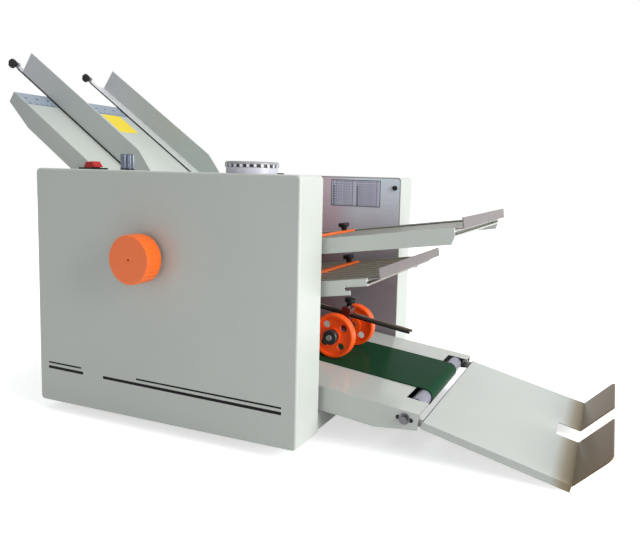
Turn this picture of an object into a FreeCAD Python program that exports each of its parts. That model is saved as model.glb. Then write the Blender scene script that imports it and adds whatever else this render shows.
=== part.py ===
import FreeCAD, Part
import Sketcher
import math
import os
import re

# Paper folding machine: sheets slide down the sloping feed tray into a column of six fold rollers,
# buckle in four comb plates, and leave on a short belt conveyor with press wheels and a hinged tray.
# Frame: X towards the delivery side, Y away from the hand wheel side, Z up, origin at the centre of
# the base plate's underside.

SIZES = {
    # covers and side plates
    "cover_length": 400,
    "cover_height": 320,
    "cover_depth": 58,
    "cover_wall": 1.5,
    "cover_corner": 6,
    "cover_bend": 3,
    "corner_share": 0.586,
    "plate_gap": 296,
    "plate_thick": 8,
    "plate_clear": 0.5,
    # base, feet and tie bars
    "base_thick": 3,
    "base_inset": 6,
    "base_flange": 26,
    "foot_radius": 16,
    "foot_height": 14,
    "foot_taper": 3,
    "foot_row_x": 150,
    "foot_row_y": 110,
    "tie_radius": 6,
    # fits
    "running_gap": 0.05,
    "moving_gap": 0.3,
    "overrun": 2,
    # fold rollers and gears
    "roller_pitch": 28,
    "roller_top_z": 227.4,
    "roller_x": 8.2,
    "roller_end_gap": 4,
    "journal_radius": 6,
    "gear_face": 8,
    "gear_gap": 3,
    "gear_teeth": 28,
    "feed_gear_teeth": 40,
    "tooth_rise": 0.8,
    "tooth_sink": 1.05,
    "tooth_root_half": 0.95,
    "tooth_tip_half": 0.42,
    "drive_step": 5,
    "feed_step": 4.5,
    # drive shaft and hand wheel
    "drive_shaft_radius": 5,
    "handwheel_radius": 30.8,
    "handwheel_width": 25,
    "handwheel_gap": 5,
    "handwheel_face": 7,
    "handwheel_bevel": 1.5,
    "handwheel_pin": 1.6,
    "handwheel_flute": 2.2,
    "handwheel_flute_depth": 0.9,
    "handwheel_flutes": 24,
    # belt drive in the far cover
    "pulley_radius": 22,
    "pulley_face": 9,
    "pulley_rim": 3,
    "pulley_side": 1.5,
    "motor_pulley_radius": 10,
    "transfer_radius": 8,
    "transfer_face": 5,
    "drive_belt_thick": 1.6,
    "motor_radius": 32,
    "motor_length": 105,
    "motor_bevel": 4,
    "motor_x": -120,
    "motor_z": 52,
    "motor_shaft_radius": 4,
    "motor_shaft_depth": 30,
    "motor_hole_radius": 8,
    # feed tray and its guides
    "paper_line": 9,
    "tray_width": 280,
    "sheet": 1.5,
    "feed_top_x": -316.3,
    "feed_top_z": 431.9,
    "feed_angle": 35.2,
    "feed_length": 326,
    "feed_flange": 28,
    "feed_flange_end": 17,
    "feed_flange_taper": 53,
    "feed_end_lip": 12,
    "feed_tongue": 36,
    "feed_tongue_width": 70,
    "stud_radius": 6,
    "feed_stud_drop": 15,
    "feed_stud_inner": 21,
    "feed_stud_outer": 111,
    "guide_spread": 87.3,
    "guide_height": 37.5,
    "guide_overhang": 66,
    "guide_length": 358,
    "guide_nose": 98,
    "guide_nose_height": 4,
    "guide_flange": 24,
    "guide_sheet": 1.5,
    "guide_tail": 26,
    "guide_tail_width": 11,
    "guide_ear_rise": 3.5,
    "guide_ear_height": 9,
    "guide_knob_radius": 7.5,
    "guide_knob_height": 9,
    "guide_nut_radius": 3.2,
    "guide_nut_height": 5,
    "knob_stud_radius": 2,
    "feed_wheel_width": 16,
    "feed_wheel_spread": 22,
    "feed_shaft_radius": 5,
    "feed_hub_radius": 8,
    "pad_thick": 2.5,
    "pad_length": 20,
    "pad_width": 60,
    # comb fold plates
    "comb_thick": 2,
    "comb_gap": 3.6,
    "comb_rib": 9,
    "comb_ribs": 10,
    "comb_tie": 10,
    "comb_start": 28,
    "comb_taper": 8,
    "flange_height": 18.5,
    "flange_lip": 7,
    "plate_stud_inner": 30,
    "plate_stud_outer": 140,
    "upper_z": 243.9,
    "upper_angle": 7.8,
    "upper_reach": 160,
    "upper_drop": 3,
    "upper_lip_out": 10.5,
    "upper_cut": 4.5,
    "lower_z": 191.1,
    "lower_angle": 8.5,
    "lower_reach": 56,
    "lower_drop": 1.5,
    "lower_lip_out": 16.5,
    "end_half": 135,
    "end_lip_height": 13,
    "end_lip_drop": 2,
    "hook_arm": 7.3,
    "hook_slot": 5.9,
    "hook_root": 29,
    "hook_tab": 33.3,
    "left_angle": 8.5,
    "left_reach": 174,
    "left_rise": 6,
    "left_drop": 1.5,
    "left_stop": 80,
    "upper_stop_x": 127,
    "lower_stop_x": 137,
    "stop_width": 12,
    "stop_thick": 3,
    "stop_half": 110,
    "stop_finger": 5,
    "stop_fingers": 7,
    "stop_knob_y": 89,
    "stop_knob_back": 3.5,
    "stop_knob_radius": 9,
    "stop_knob_height": 8,
    "stop_neck_radius": 4.5,
    "stop_neck_height": 4,
    # conveyor
    "conveyor_z": 59.8,
    "conveyor_angle": 6.8,
    "conveyor_in": 150,
    "conveyor_out": 128,
    "conveyor_flange": 31,
    "conveyor_flange_end": 20,
    "conveyor_kink": 74.5,
    "conveyor_stud_drop": 15,
    "conveyor_stud_inner": 30,
    "conveyor_stud_outer": 130,
    "conveyor_roller_radius": 10,
    "conveyor_roller_half": 103,
    "conveyor_axle_radius": 4,
    "end_roller_x": 111,
    "inner_roller_x": -166,
    "notch_start": 98.7,
    "notch_half": 107,
    "belt_half": 66,
    "belt_thick": 1.2,
    "slot_length": 22,
    "slot_width": 5.4,
    "tension_bolt_radius": 2.5,
    "washer_radius": 6.8,
    "washer_thick": 1.5,
    "bolt_head_radius": 4.5,
    "bolt_head": 4,
    "hinge_pin_radius": 2.5,
    "hinge_pin_length": 14,
    "hinge_x": 123.7,
    "hinge_drop": 11.2,
    # receiving tray
    "receiver_start_x": 331,
    "receiver_start_z": 36.6,
    "receiver_angle": 13.55,
    "receiver_length": 173.3,
    "receiver_flange": 9,
    "lip_length": 54.6,
    "lip_angle": 58,
    "lip_corner": 10,
    "finger_length": 28,
    "finger_width": 42,
    "finger_y": 5,
    "ear_radius": 5,
    "ear_thick": 3,
    "ear_side": 4,
    "ear_reach": 20,
    # press wheels
    "press_line": 4,
    "press_pivot_x": 75,
    "press_pivot_z": 136.9,
    "press_pivot_radius": 5,
    "press_angle": 9.2,
    "press_hub_radius": 9,
    "press_hub_width": 26,
    "rod_radius": 2,
    "rod_spread": 6.5,
    "rod_length": 197,
    "clamp_x": 99,
    "clamp_length": 13,
    "clamp_width": 20,
    "clamp_top": 10,
    "clamp_bottom": 6,
    "clamp_leg": 12,
    "wheel_radius": 31.3,
    "wheel_width": 13,
    "wheel_rim": 5,
    "wheel_round": 2.2,
    "wheel_web": 5,
    "wheel_hub": 11,
    "wheel_spread": 38.5,
    "wheel_hole": 5.4,
    "wheel_hole_row": 18.8,
    "wheel_holes": 4,
    "axle_radius": 4,
    "axle_cap_radius": 10.5,
    "axle_cap": 12,
    "press_knob_radius": 8.3,
    "press_knob_height": 10,
    "press_neck_radius": 4,
    "press_neck": 3,
    "press_stud_radius": 2.5,
    "press_stud_depth": 8,
    # controls on the near cover
    "control_y": 29,
    "dial_x": 116,
    "dial_y": 35,
    "dial_base_radius": 31.2,
    "dial_base_height": 7,
    "dial_radius": 32.3,
    "dial_height": 6.5,
    "dial_slots": 24,
    "dial_bevel": 1.2,
    "dial_slot": 5.4,
    "dial_slot_depth": 3,
    "dial_slot_height": 3.5,
    "spindle_radius": 3,
    "spindle_drop": 14,
    "switch_x": -127.5,
    "bezel_length": 30,
    "bezel_width": 21,
    "bezel_thick": 2.2,
    "rocker_length": 19.5,
    "rocker_width": 15,
    "rocker_lift": 2,
    "rocker_rise": 8,
    "rocker_side": 4.5,
    "rocker_boss": 4,
    "rocker_tilt": 7,
    "speed_x": -69.5,
    "speed_radius": 8.8,
    "speed_height": 21,
    "inlet_z": 60,
    "inlet_width": 28,
    "inlet_height": 48,
    "inlet_depth": 22,
    "inlet_flange": 3,
    "inlet_wall": 3,
    # fasteners
    "screw_radius": 4,
    "screw_head": 2.5,
    "screw_in_x": 10,
    "screw_in_z": 17,
}

# Places and sizes that follow from the driving ones
DERIVED = {
    "half_length": "cover_length / 2",
    "half_gap": "plate_gap / 2",
    "plate_out": "half_gap + plate_thick",
    "cover_out": "half_gap + cover_depth",
    "plate_half": "half_length - cover_wall - plate_clear",
    "plate_top": "cover_height - cover_wall - plate_clear",
    "base_half": "half_length - base_inset",
    "tray_half": "tray_width / 2",
    "roller_radius": "roller_pitch / 2 - moving_gap / 2",
    "roller_low_z": "roller_top_z - 5 * roller_pitch",
    "gear_radius": "roller_pitch / 2",
    "gear_module": "roller_pitch / gear_teeth",
    "gear_end": "plate_out + gear_gap",
    "gear_start": "gear_end + gear_face",
    "feed_gear_end": "gear_start + gear_gap",
    "feed_gear_start": "feed_gear_end + gear_face",
    "journal_out": "plate_out + gear_gap / 2",
    "drive_lift": "90 - drive_step * 360 / gear_teeth",
    "drive_x": "roller_x - roller_pitch * cos(drive_lift)",
    "drive_z": "roller_top_z - roller_pitch + roller_pitch * sin(drive_lift)",
    "feed_lift": "90 - feed_step * 360 / gear_teeth",
    "feed_gear_radius": "gear_radius * feed_gear_teeth / gear_teeth",
    "feed_x": "roller_x - (gear_radius + feed_gear_radius) * cos(feed_lift)",
    "feed_z": "roller_top_z + (gear_radius + feed_gear_radius) * sin(feed_lift)",
    "feed_off": "(feed_x - feed_top_x) * sin(feed_angle) + (feed_z - feed_top_z) * cos(feed_angle)",
    "feed_along": "(feed_x - feed_top_x) * cos(feed_angle) - (feed_z - feed_top_z) * sin(feed_angle)",
    "feed_wheel_radius": "feed_off - pad_thick - moving_gap",
    "feed_hub_half": "feed_wheel_spread + feed_wheel_width",
    "pulley_start": "plate_out + gear_gap",
    "pulley_end": "pulley_start + pulley_face + 2 * pulley_side",
    "transfer_start": "pulley_end + gear_gap",
    "inner_x": "half_length + inner_roller_x * cos(conveyor_angle) - inner_drop * sin(conveyor_angle)",
    "inner_z": "conveyor_z - inner_roller_x * sin(conveyor_angle) - inner_drop * cos(conveyor_angle)",
    "inner_drop": "conveyor_roller_radius",
    "comb_in": "half_length - roller_x - comb_start",
    "comb_low": "comb_thick + comb_gap",
    "comb_depth": "comb_low + comb_thick",
    "rib_half": "tray_half - sheet - comb_rib / 2",
    "comb_pitch": "2 * rib_half / (comb_ribs - 1)",
    "finger_half": "comb_pitch * (stop_fingers - 1) / 2",
    "left_x": "roller_x - comb_start",
    "nip_high": "roller_top_z - roller_pitch * 3 / 2",
    "nip_low": "roller_top_z - roller_pitch * 7 / 2",
    "upper_stop": "(upper_stop_x - half_length) / cos(upper_angle)",
    "lower_stop": "(lower_stop_x - half_length) / cos(lower_angle)",
    "hinge_world_x": "half_length + hinge_x * cos(conveyor_angle) - hinge_drop * sin(conveyor_angle)",
    "hinge_world_z": "conveyor_z - hinge_x * sin(conveyor_angle) - hinge_drop * cos(conveyor_angle)",
    "hinge_dx": "hinge_world_x - receiver_start_x",
    "hinge_dz": "hinge_world_z - receiver_start_z",
    "ear_x": "hinge_dx * cos(receiver_angle) - hinge_dz * sin(receiver_angle)",
    "ear_z": "hinge_dx * sin(receiver_angle) + hinge_dz * cos(receiver_angle)",
    "lip_dx": "lip_length * cos(lip_angle)",
    "lip_dz": "lip_length * sin(lip_angle)",
    "clamp_over_x": "press_pivot_x + clamp_x * cos(press_angle) - half_length",
    "clamp_over_z": "press_pivot_z - clamp_x * sin(press_angle) - conveyor_z",
    "clamp_over": "clamp_over_x * sin(conveyor_angle) + clamp_over_z * cos(conveyor_angle)",
    "wheel_over": "wheel_radius + belt_thick + 2 * moving_gap",
    "axle_drop": "(clamp_over - wheel_over) / cos(press_angle - conveyor_angle)",
    "wheel_half": "wheel_spread + wheel_width / 2",
}

# Tie bars: shares of the covers' length and height
TIE_SHARES = ((0.15, 0.584), (-0.15, 0.328), (-0.3, 0.766), (0.15, 0.094))

WORD = re.compile(r"[a-z][a-z_]*")
ALONG_Y = FreeCAD.Rotation(FreeCAD.Vector(1, 0, 0), -90)
TOWARDS_NEAR = FreeCAD.Rotation(FreeCAD.Vector(1, 0, 0), 90)
doc = FreeCAD.newDocument("paper_folder")
sheet = doc.addObject("Spreadsheet::Sheet", "Sizes")
parts = []


def fill_sheet():
    """Writes each driving dimension into the sheet under its own name."""
    for row, (name, size) in enumerate(SIZES.items(), 1):
        sheet.set("A%d" % row, name)
        sheet.set("B%d" % row, str(size))
        sheet.setAlias("B%d" % row, name)
    doc.recompute()


def expand(text):
    """Turns names of sizes and derived places into an expression on the sheet."""
    def swap(match):
        word = match.group()
        if word in SIZES:
            return "Sizes." + word
        if word in DERIVED:
            return "(" + expand(DERIVED[word]) + ")"
        return word
    return WORD.sub(swap, text)


def value(text):
    return float(sheet.evalExpression(expand(text)))


def bind(thing, **properties):
    for name, text in properties.items():
        thing.setExpression(name, expand(text))


def turn_about_y(angle):
    return FreeCAD.Rotation(FreeCAD.Vector(0, 1, 0), value(angle))


def seat(thing, x="0", y="0", z="0", turn=None):
    """Places an object: a turn, and a position bound to the sheet."""
    thing.Placement = FreeCAD.Placement(FreeCAD.Vector(), turn or FreeCAD.Rotation())
    for axis, text in (("x", x), ("y", y), ("z", z)):
        thing.setExpression("Placement.Base." + axis, expand(text))


def keep(thing, name):
    thing.Label = name
    parts.append(thing)
    return thing


def new_body(name):
    body = doc.addObject("PartDesign::Body", name)
    body.Label = name
    return body


def origin_item(body, role):
    return [item for item in body.Origin.OriginFeatures if item.Role == role][0]


def new_sketch(body, plane, start):
    drawing = body.newObject("Sketcher::SketchObject", body.Name + "_sketch")
    drawing.AttachmentSupport = (origin_item(body, plane + "_Plane"), "")
    drawing.MapMode = "FlatFace"
    side = "-(%s)" % start if plane == "XZ" else start
    drawing.setExpression("AttachmentOffset.Base.z", expand(side))
    return drawing


def hold_point(drawing, geometry, end, x, y):
    for kind, text in (("DistanceX", x), ("DistanceY", y)):
        rule = Sketcher.Constraint(kind, -1, 1, geometry, end, value(text))
        drawing.setExpression("Constraints[%d]" % drawing.addConstraint(rule), expand(text))


def draw_outline(drawing, points):
    spots = [FreeCAD.Vector(value(x), value(y), 0) for x, y in points]
    lines = []
    for here, there in zip(spots, spots[1:] + spots[:1]):
        lines.append(drawing.addGeometry(Part.LineSegment(here, there), False))
    for here, there in zip(lines, lines[1:] + lines[:1]):
        drawing.addConstraint(Sketcher.Constraint("Coincident", here, 2, there, 1))
    for line, (x, y) in zip(lines, points):
        hold_point(drawing, line, 1, x, y)


def draw_circle(drawing, x, y, radius):
    centre = FreeCAD.Vector(value(x), value(y), 0)
    ring = Part.Circle(centre, FreeCAD.Vector(0, 0, 1), value(radius))
    geometry = drawing.addGeometry(ring, False)
    rule = Sketcher.Constraint("Radius", geometry, value(radius))
    drawing.setExpression("Constraints[%d]" % drawing.addConstraint(rule), expand(radius))
    hold_point(drawing, geometry, 3, x, y)


def extrude(body, kind, plane, shape, start, depth):
    """Adds or cuts a prism that runs from start over depth, along the plane's positive axis."""
    drawing = new_sketch(body, plane, start)
    if len(shape) == 3 and isinstance(shape[0], str):
        draw_circle(drawing, *shape)
    else:
        draw_outline(drawing, shape)
    feature = body.newObject("PartDesign::" + kind, body.Name + "_" + kind.lower())
    feature.Profile = drawing
    feature.Reversed = (plane == "XZ") == (kind == "Pad")
    bind(feature, Length=depth)
    return feature


def pad(body, plane, shape, start, depth):
    return extrude(body, "Pad", plane, shape, start, depth)


def cut(body, plane, shape, start, depth):
    return extrude(body, "Pocket", plane, shape, start, depth)


def revolve(body, points):
    """Turns an outline of radius and height pairs about the body's own Z axis."""
    drawing = new_sketch(body, "XZ", "0")
    draw_outline(drawing, points)
    feature = body.newObject("PartDesign::Revolution", body.Name + "_turned")
    feature.Profile = drawing
    feature.ReferenceAxis = (drawing, ["V_Axis"])
    feature.Angle = 360
    return feature


def ring_pattern(body, feature, count):
    pattern = body.newObject("PartDesign::PolarPattern", body.Name + "_ring")
    pattern.Originals = [feature]
    pattern.Axis = (origin_item(body, "Z_Axis"), [""])
    pattern.Angle = 360
    bind(pattern, Occurrences=count)
    body.Tip = pattern
    return pattern


def row_pattern(body, feature, axis, length, count):
    pattern = body.newObject("PartDesign::LinearPattern", body.Name + "_row")
    pattern.Originals = [feature]
    pattern.Direction = (origin_item(body, axis + "_Axis"), [""])
    bind(pattern, Length=length, Occurrences=count)
    body.Tip = pattern
    return pattern


def round_edges(body, feature, radius, chosen):
    """Rounds the edges of a feature that the test picks."""
    doc.recompute()
    names = ["Edge%d" % (i + 1) for i, edge in enumerate(feature.Shape.Edges) if chosen(edge)]
    fillet = body.newObject("PartDesign::Fillet", body.Name + "_fillet")
    fillet.Base = (feature, names)
    bind(fillet, Radius=radius)
    body.Tip = fillet
    return fillet


def runs_along(edge, axis):
    """True where a straight edge lies along one axis."""
    if not isinstance(edge.Curve, Part.Line):
        return False
    return abs(abs(edge.Curve.Direction.dot(axis)) - 1) < 1e-6


def rectangle(left, right, low, high):
    return ((left, low), (right, low), (right, high), (left, high))


def chamfered(left, right, low, high, bevel):
    """A rectangle with its four corners cut off."""
    return (
        ("%s + %s" % (left, bevel), low), ("%s - %s" % (right, bevel), low),
        (right, "%s + %s" % (low, bevel)), (right, "%s - %s" % (high, bevel)),
        ("%s - %s" % (right, bevel), high), ("%s + %s" % (left, bevel), high),
        (left, "%s - %s" % (high, bevel)), (left, "%s + %s" % (low, bevel)),
    )


def group(name, members):
    bundle = doc.addObject("Part::Compound", name)
    bundle.Links = members
    return keep(bundle, name)


def cylinder(name, radius, height, x, y, z, turn=None):
    solid = doc.addObject("Part::Cylinder", name)
    bind(solid, Radius=radius, Height=height)
    seat(solid, x, y, z, turn)
    return solid


# Frame: base plate, side plates, tie bars, covers, feet

def base_plate():
    body = new_body("base_plate")
    inner = "base_half - base_thick"
    profile = (
        ("-base_half", "0"), ("base_half", "0"), ("base_half", "base_flange"), (inner, "base_flange"),
        (inner, "base_thick"), ("-(%s)" % inner, "base_thick"), ("-(%s)" % inner, "base_flange"),
        ("-base_half", "base_flange"),
    )
    pad(body, "XZ", profile, "-half_gap", "plate_gap")
    keep(body, "base_plate")


def side_plate(name, start, motor):
    """One steel plate with the bearing holes of every shaft."""
    body = new_body(name)
    outline = rectangle("-plate_half", "plate_half", "cover_wall + plate_clear", "plate_top")
    plate = pad(body, "XZ", outline, start, "plate_thick")
    across = FreeCAD.Vector(0, 1, 0)
    round_edges(body, plate, "cover_corner - cover_wall", lambda edge: runs_along(edge, across))
    journal = "journal_radius + running_gap"
    hole = cut(body, "XZ", ("roller_x", "roller_low_z", journal), start, "plate_thick")
    row_pattern(body, hole, "Z", "5 * roller_pitch", "6")
    cut(body, "XZ", ("feed_x", "feed_z", "feed_shaft_radius + running_gap"), start, "plate_thick")
    cut(body, "XZ", ("drive_x", "drive_z", "drive_shaft_radius + running_gap"), start, "plate_thick")
    cut(body, "XZ", ("inner_x", "inner_z", "conveyor_axle_radius + running_gap"), start, "plate_thick")
    if motor:
        cut(body, "XZ", ("motor_x", "motor_z", "motor_hole_radius"), start, "plate_thick")
    keep(body, name)


def tie_bars():
    bars = []
    for along, up in TIE_SHARES:
        spot = ("%g * cover_length" % along, "-half_gap", "%g * cover_height" % up)
        bars.append(cylinder("tie_bar", "tie_radius", "plate_gap", *spot, ALONG_Y))
    pivot = ("press_pivot_x", "-half_gap", "press_pivot_z")
    bars.append(cylinder("press_pivot", "press_pivot_radius", "plate_gap", *pivot, ALONG_Y))
    group("tie_bars", bars)


def cover_shell(name, start, open_start):
    """A folded sheet box, open towards the machine's middle."""
    body = new_body(name)
    outline = rectangle("-half_length", "half_length", "0", "cover_height")
    block = pad(body, "XZ", outline, start, "cover_depth")
    across = FreeCAD.Vector(0, 1, 0)
    corners = round_edges(body, block, "cover_corner", lambda edge: runs_along(edge, across))
    face = value("cover_out")
    round_edges(body, corners, "cover_bend", lambda edge: abs(abs(edge.CenterOfMass.y) - face) < 1e-6)
    inside = chamfered("cover_wall - half_length", "half_length - cover_wall", "cover_wall",
                       "cover_height - cover_wall", "(cover_corner - cover_wall) * corner_share")
    cut(body, "XZ", inside, open_start, "cover_depth - cover_wall")
    return body


def near_cover():
    body = cover_shell("near_cover", "-cover_out", "cover_wall - cover_out")
    shaft_hole = ("drive_x", "drive_z", "drive_shaft_radius + moving_gap")
    cut(body, "XZ", shaft_hole, "-cover_out - overrun", "cover_wall + 2 * overrun")
    for x, y in (("dial_x", "dial_y - cover_out"), ("speed_x", "control_y - cover_out")):
        hole = (x, y, "spindle_radius + running_gap")
        cut(body, "XY", hole, "cover_height - cover_wall - overrun", "cover_wall + 2 * overrun")
    window_half, window_side = "(rocker_length / 2 + moving_gap)", "(rocker_width / 2 + moving_gap)"
    middle = "control_y - cover_out"
    window = rectangle("switch_x - " + window_half, "switch_x + " + window_half,
                       "%s - %s" % (middle, window_side), "%s + %s" % (middle, window_side))
    cut(body, "XY", window, "cover_height - cover_wall - overrun", "cover_wall + 2 * overrun")
    keep(body, "near_cover")


def far_cover():
    body = cover_shell("far_cover", "half_gap", "half_gap")
    opening = rectangle("cover_out - control_y - inlet_width / 2", "cover_out - control_y + inlet_width / 2",
                        "inlet_z - inlet_height / 2", "inlet_z + inlet_height / 2")
    cut(body, "YZ", opening, "-half_length - overrun", "cover_wall + 2 * overrun")
    keep(body, "far_cover")


def feet():
    rubber = []
    for side_x in ("foot_row_x", "-foot_row_x"):
        for side_y in ("foot_row_y", "-foot_row_y"):
            body = new_body("foot")
            low = "foot_radius - foot_taper"
            revolve(body, (("0", "-foot_height"), (low, "-foot_height"), ("foot_radius", "0"), ("0", "0")))
            seat(body, side_x, side_y)
            rubber.append(body)
    group("feet", rubber)


def plate_screws():
    heads = []
    for side in ("half_length - screw_in_x", "screw_in_x - half_length"):
        for level in ("cover_height - screw_in_z", "base_flange + screw_in_z"):
            for start in ("half_gap - screw_head", "-half_gap"):
                heads.append(cylinder("screw", "screw_radius", "screw_head", side, start, level, ALONG_Y))
    group("plate_screws", heads)


# Rollers, gears and shafts; a turned piece is drawn upright, and its Z axis is laid along Y

def add_teeth(body, pitch_radius, teeth, start):
    root = "%s - 2 * tooth_sink * gear_module" % pitch_radius
    tip = "%s + tooth_rise * gear_module" % pitch_radius
    tooth = (
        (root, "-tooth_root_half * gear_module"), (tip, "-tooth_tip_half * gear_module"),
        (tip, "tooth_tip_half * gear_module"), (root, "tooth_root_half * gear_module"),
    )
    first = pad(body, "XY", tooth, "-(%s)" % start[0], start[1])
    ring_pattern(body, first, teeth)


def fold_roller(number):
    name = "fold_roller_%d" % number
    body = new_body(name)
    wide = "feed_gear_start" if number == 1 else "gear_start"
    gear_root = "gear_radius - tooth_sink * gear_module"
    barrel = "half_gap - roller_end_gap"
    profile = [
        ("0", "-" + wide), (gear_root, "-" + wide), (gear_root, "-gear_end"),
        ("journal_radius", "-gear_end"), ("journal_radius", "-(%s)" % barrel),
        ("roller_radius", "-(%s)" % barrel), ("roller_radius", barrel), ("journal_radius", barrel),
    ]
    if number == 6:
        profile += grooved("transfer_radius", "transfer_start", "transfer_face", "journal_radius")
    else:
        profile += [("journal_radius", "journal_out"), ("0", "journal_out")]
    revolve(body, profile)
    add_teeth(body, "gear_radius", "gear_teeth", (wide, wide + " - gear_end"))
    phase = value("180 / gear_teeth") if number % 2 == 0 else 0
    spin = FreeCAD.Rotation(FreeCAD.Vector(0, 0, 1), phase)
    seat(body, "roller_x", "0", "roller_top_z - %d * roller_pitch" % (number - 1), ALONG_Y.multiply(spin))
    keep(body, name)


def grooved(radius, start, face, shaft):
    """Outline of a flanged pulley at a shaft's end, from its inner side to its outer side."""
    rim = "%s + pulley_rim" % radius
    inner = "%s + pulley_side" % start
    outer = "%s + %s" % (inner, face)
    end = "%s + pulley_side" % outer
    return [(shaft, start), (rim, start), (rim, inner), (radius, inner), (radius, outer),
            (rim, outer), (rim, end), ("0", end)]


def drive_shaft():
    body = new_body("drive_shaft")
    outer = "cover_out + handwheel_gap + handwheel_width - handwheel_face"
    gear_root = "gear_radius - tooth_sink * gear_module"
    revolve(body, (
        ("0", "-(%s)" % outer), ("drive_shaft_radius", "-(%s)" % outer),
        ("drive_shaft_radius", "-gear_start"), (gear_root, "-gear_start"),
        (gear_root, "-gear_end"), ("drive_shaft_radius", "-gear_end"),
        ("drive_shaft_radius", "journal_out"), ("0", "journal_out"),
    ))
    add_teeth(body, "gear_radius", "gear_teeth", ("gear_start", "gear_face"))
    seat(body, "drive_x", "0", "drive_z", ALONG_Y)
    keep(body, "drive_shaft")


def hand_wheel():
    body = new_body("hand_wheel")
    front = "-(cover_out + handwheel_gap + handwheel_width)"
    back = "-(cover_out + handwheel_gap)"
    bevel = "handwheel_bevel"
    revolve(body, (
        ("handwheel_pin", front), ("handwheel_radius - " + bevel, front),
        ("handwheel_radius", "%s + %s" % (front, bevel)), ("handwheel_radius", "%s - %s" % (back, bevel)),
        ("handwheel_radius - " + bevel, back), ("drive_shaft_radius", back),
        ("drive_shaft_radius", front + " + handwheel_face"), ("handwheel_pin", front + " + handwheel_face"),
    ))
    flute = ("handwheel_radius + handwheel_flute - handwheel_flute_depth", "0", "handwheel_flute")
    ring_pattern(body, cut(body, "XY", flute, front, "handwheel_width"), "handwheel_flutes")
    seat(body, "drive_x", "0", "drive_z", ALONG_Y)
    keep(body, "hand_wheel")


def feed_shaft():
    body = new_body("feed_shaft")
    gear_root = "feed_gear_radius - tooth_sink * gear_module"
    hub_low = "paper_line - feed_hub_half"
    hub_high = "paper_line + feed_hub_half"
    revolve(body, (
        ("0", "-feed_gear_start"), (gear_root, "-feed_gear_start"), (gear_root, "-feed_gear_end"),
        ("feed_shaft_radius", "-feed_gear_end"), ("feed_shaft_radius", hub_low), ("feed_hub_radius", hub_low),
        ("feed_hub_radius", hub_high), ("feed_shaft_radius", hub_high), ("feed_shaft_radius", "journal_out"),
        ("0", "journal_out"),
    ))
    add_teeth(body, "feed_gear_radius", "feed_gear_teeth", ("feed_gear_start", "gear_face"))
    spin = FreeCAD.Rotation(FreeCAD.Vector(0, 0, 1), value("feed_lift"))
    seat(body, "feed_x", "0", "feed_z", ALONG_Y.multiply(spin))
    keep(body, "feed_shaft")


def feed_wheels():
    tyres = []
    for side in ("paper_line - feed_wheel_spread", "paper_line + feed_wheel_spread"):
        body = new_body("feed_wheel")
        low = "%s - feed_wheel_width / 2" % side
        high = "%s + feed_wheel_width / 2" % side
        revolve(body, rectangle("feed_hub_radius", "feed_wheel_radius", low, high))
        seat(body, "feed_x", "0", "feed_z", ALONG_Y)
        tyres.append(body)
    group("feed_wheels", tyres)


def drive_pulley():
    body = new_body("drive_pulley")
    profile = grooved("pulley_radius", "pulley_start", "pulley_face", "journal_radius")
    revolve(body, profile[:-1] + [("journal_radius", profile[-1][1])])
    seat(body, "roller_x", "0", "roller_low_z", ALONG_Y)
    keep(body, "drive_pulley")


def motor():
    body = new_body("motor")
    back = "half_gap - motor_length"
    bore = "motor_shaft_radius + running_gap"
    revolve(body, (
        ("0", back), ("motor_radius - motor_bevel", back), ("motor_radius", back + " + motor_bevel"),
        ("motor_radius", "half_gap"), (bore, "half_gap"), (bore, "half_gap - motor_shaft_depth"),
        ("0", "half_gap - motor_shaft_depth"),
    ))
    seat(body, "motor_x", "0", "motor_z", ALONG_Y)
    keep(body, "motor")


def motor_pulley():
    body = new_body("motor_pulley")
    inner = "half_gap - motor_shaft_depth + moving_gap"
    profile = [("0", inner), ("motor_shaft_radius", inner)]
    profile += grooved("motor_pulley_radius", "pulley_start", "pulley_face", "motor_shaft_radius")
    revolve(body, profile)
    seat(body, "motor_x", "0", "motor_z", ALONG_Y)
    keep(body, "motor_pulley")


def loop_wire(centre_one, radius_one, centre_two, radius_two):
    """A belt line in the XZ plane: two arcs round the pulleys and two tangents."""
    along = centre_two - centre_one
    bearing = math.atan2(along.z, along.x)
    spread = math.acos((radius_one - radius_two) / along.Length)

    def spot(centre, radius, angle):
        return centre + FreeCAD.Vector(math.cos(angle), 0, math.sin(angle)) * radius

    high, low = bearing + spread, bearing - spread
    one_high, one_low = spot(centre_one, radius_one, high), spot(centre_one, radius_one, low)
    two_high, two_low = spot(centre_two, radius_two, high), spot(centre_two, radius_two, low)
    one_back = spot(centre_one, radius_one, bearing + math.pi)
    two_front = spot(centre_two, radius_two, bearing)
    return Part.Wire([
        Part.LineSegment(one_high, two_high).toShape(), Part.Arc(two_high, two_front, two_low).toShape(),
        Part.LineSegment(two_low, one_low).toShape(), Part.Arc(one_low, one_back, one_high).toShape(),
    ])


def belt_loop(ends, thick, start, width):
    """A closed flat belt round two pulleys; ends hold each one's x, z and radius."""
    spots = [(FreeCAD.Vector(value(x), value(start), value(z)), value(radius)) for x, z, radius in ends]
    (one, radius_one), (two, radius_two) = spots
    wall = value(thick)
    outer = loop_wire(one, radius_one + wall, two, radius_two + wall)
    inner = loop_wire(one, radius_one, two, radius_two)
    band = Part.Face(outer).cut(Part.Face(inner))
    return band.Faces[0].extrude(FreeCAD.Vector(0, value(width), 0))


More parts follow.
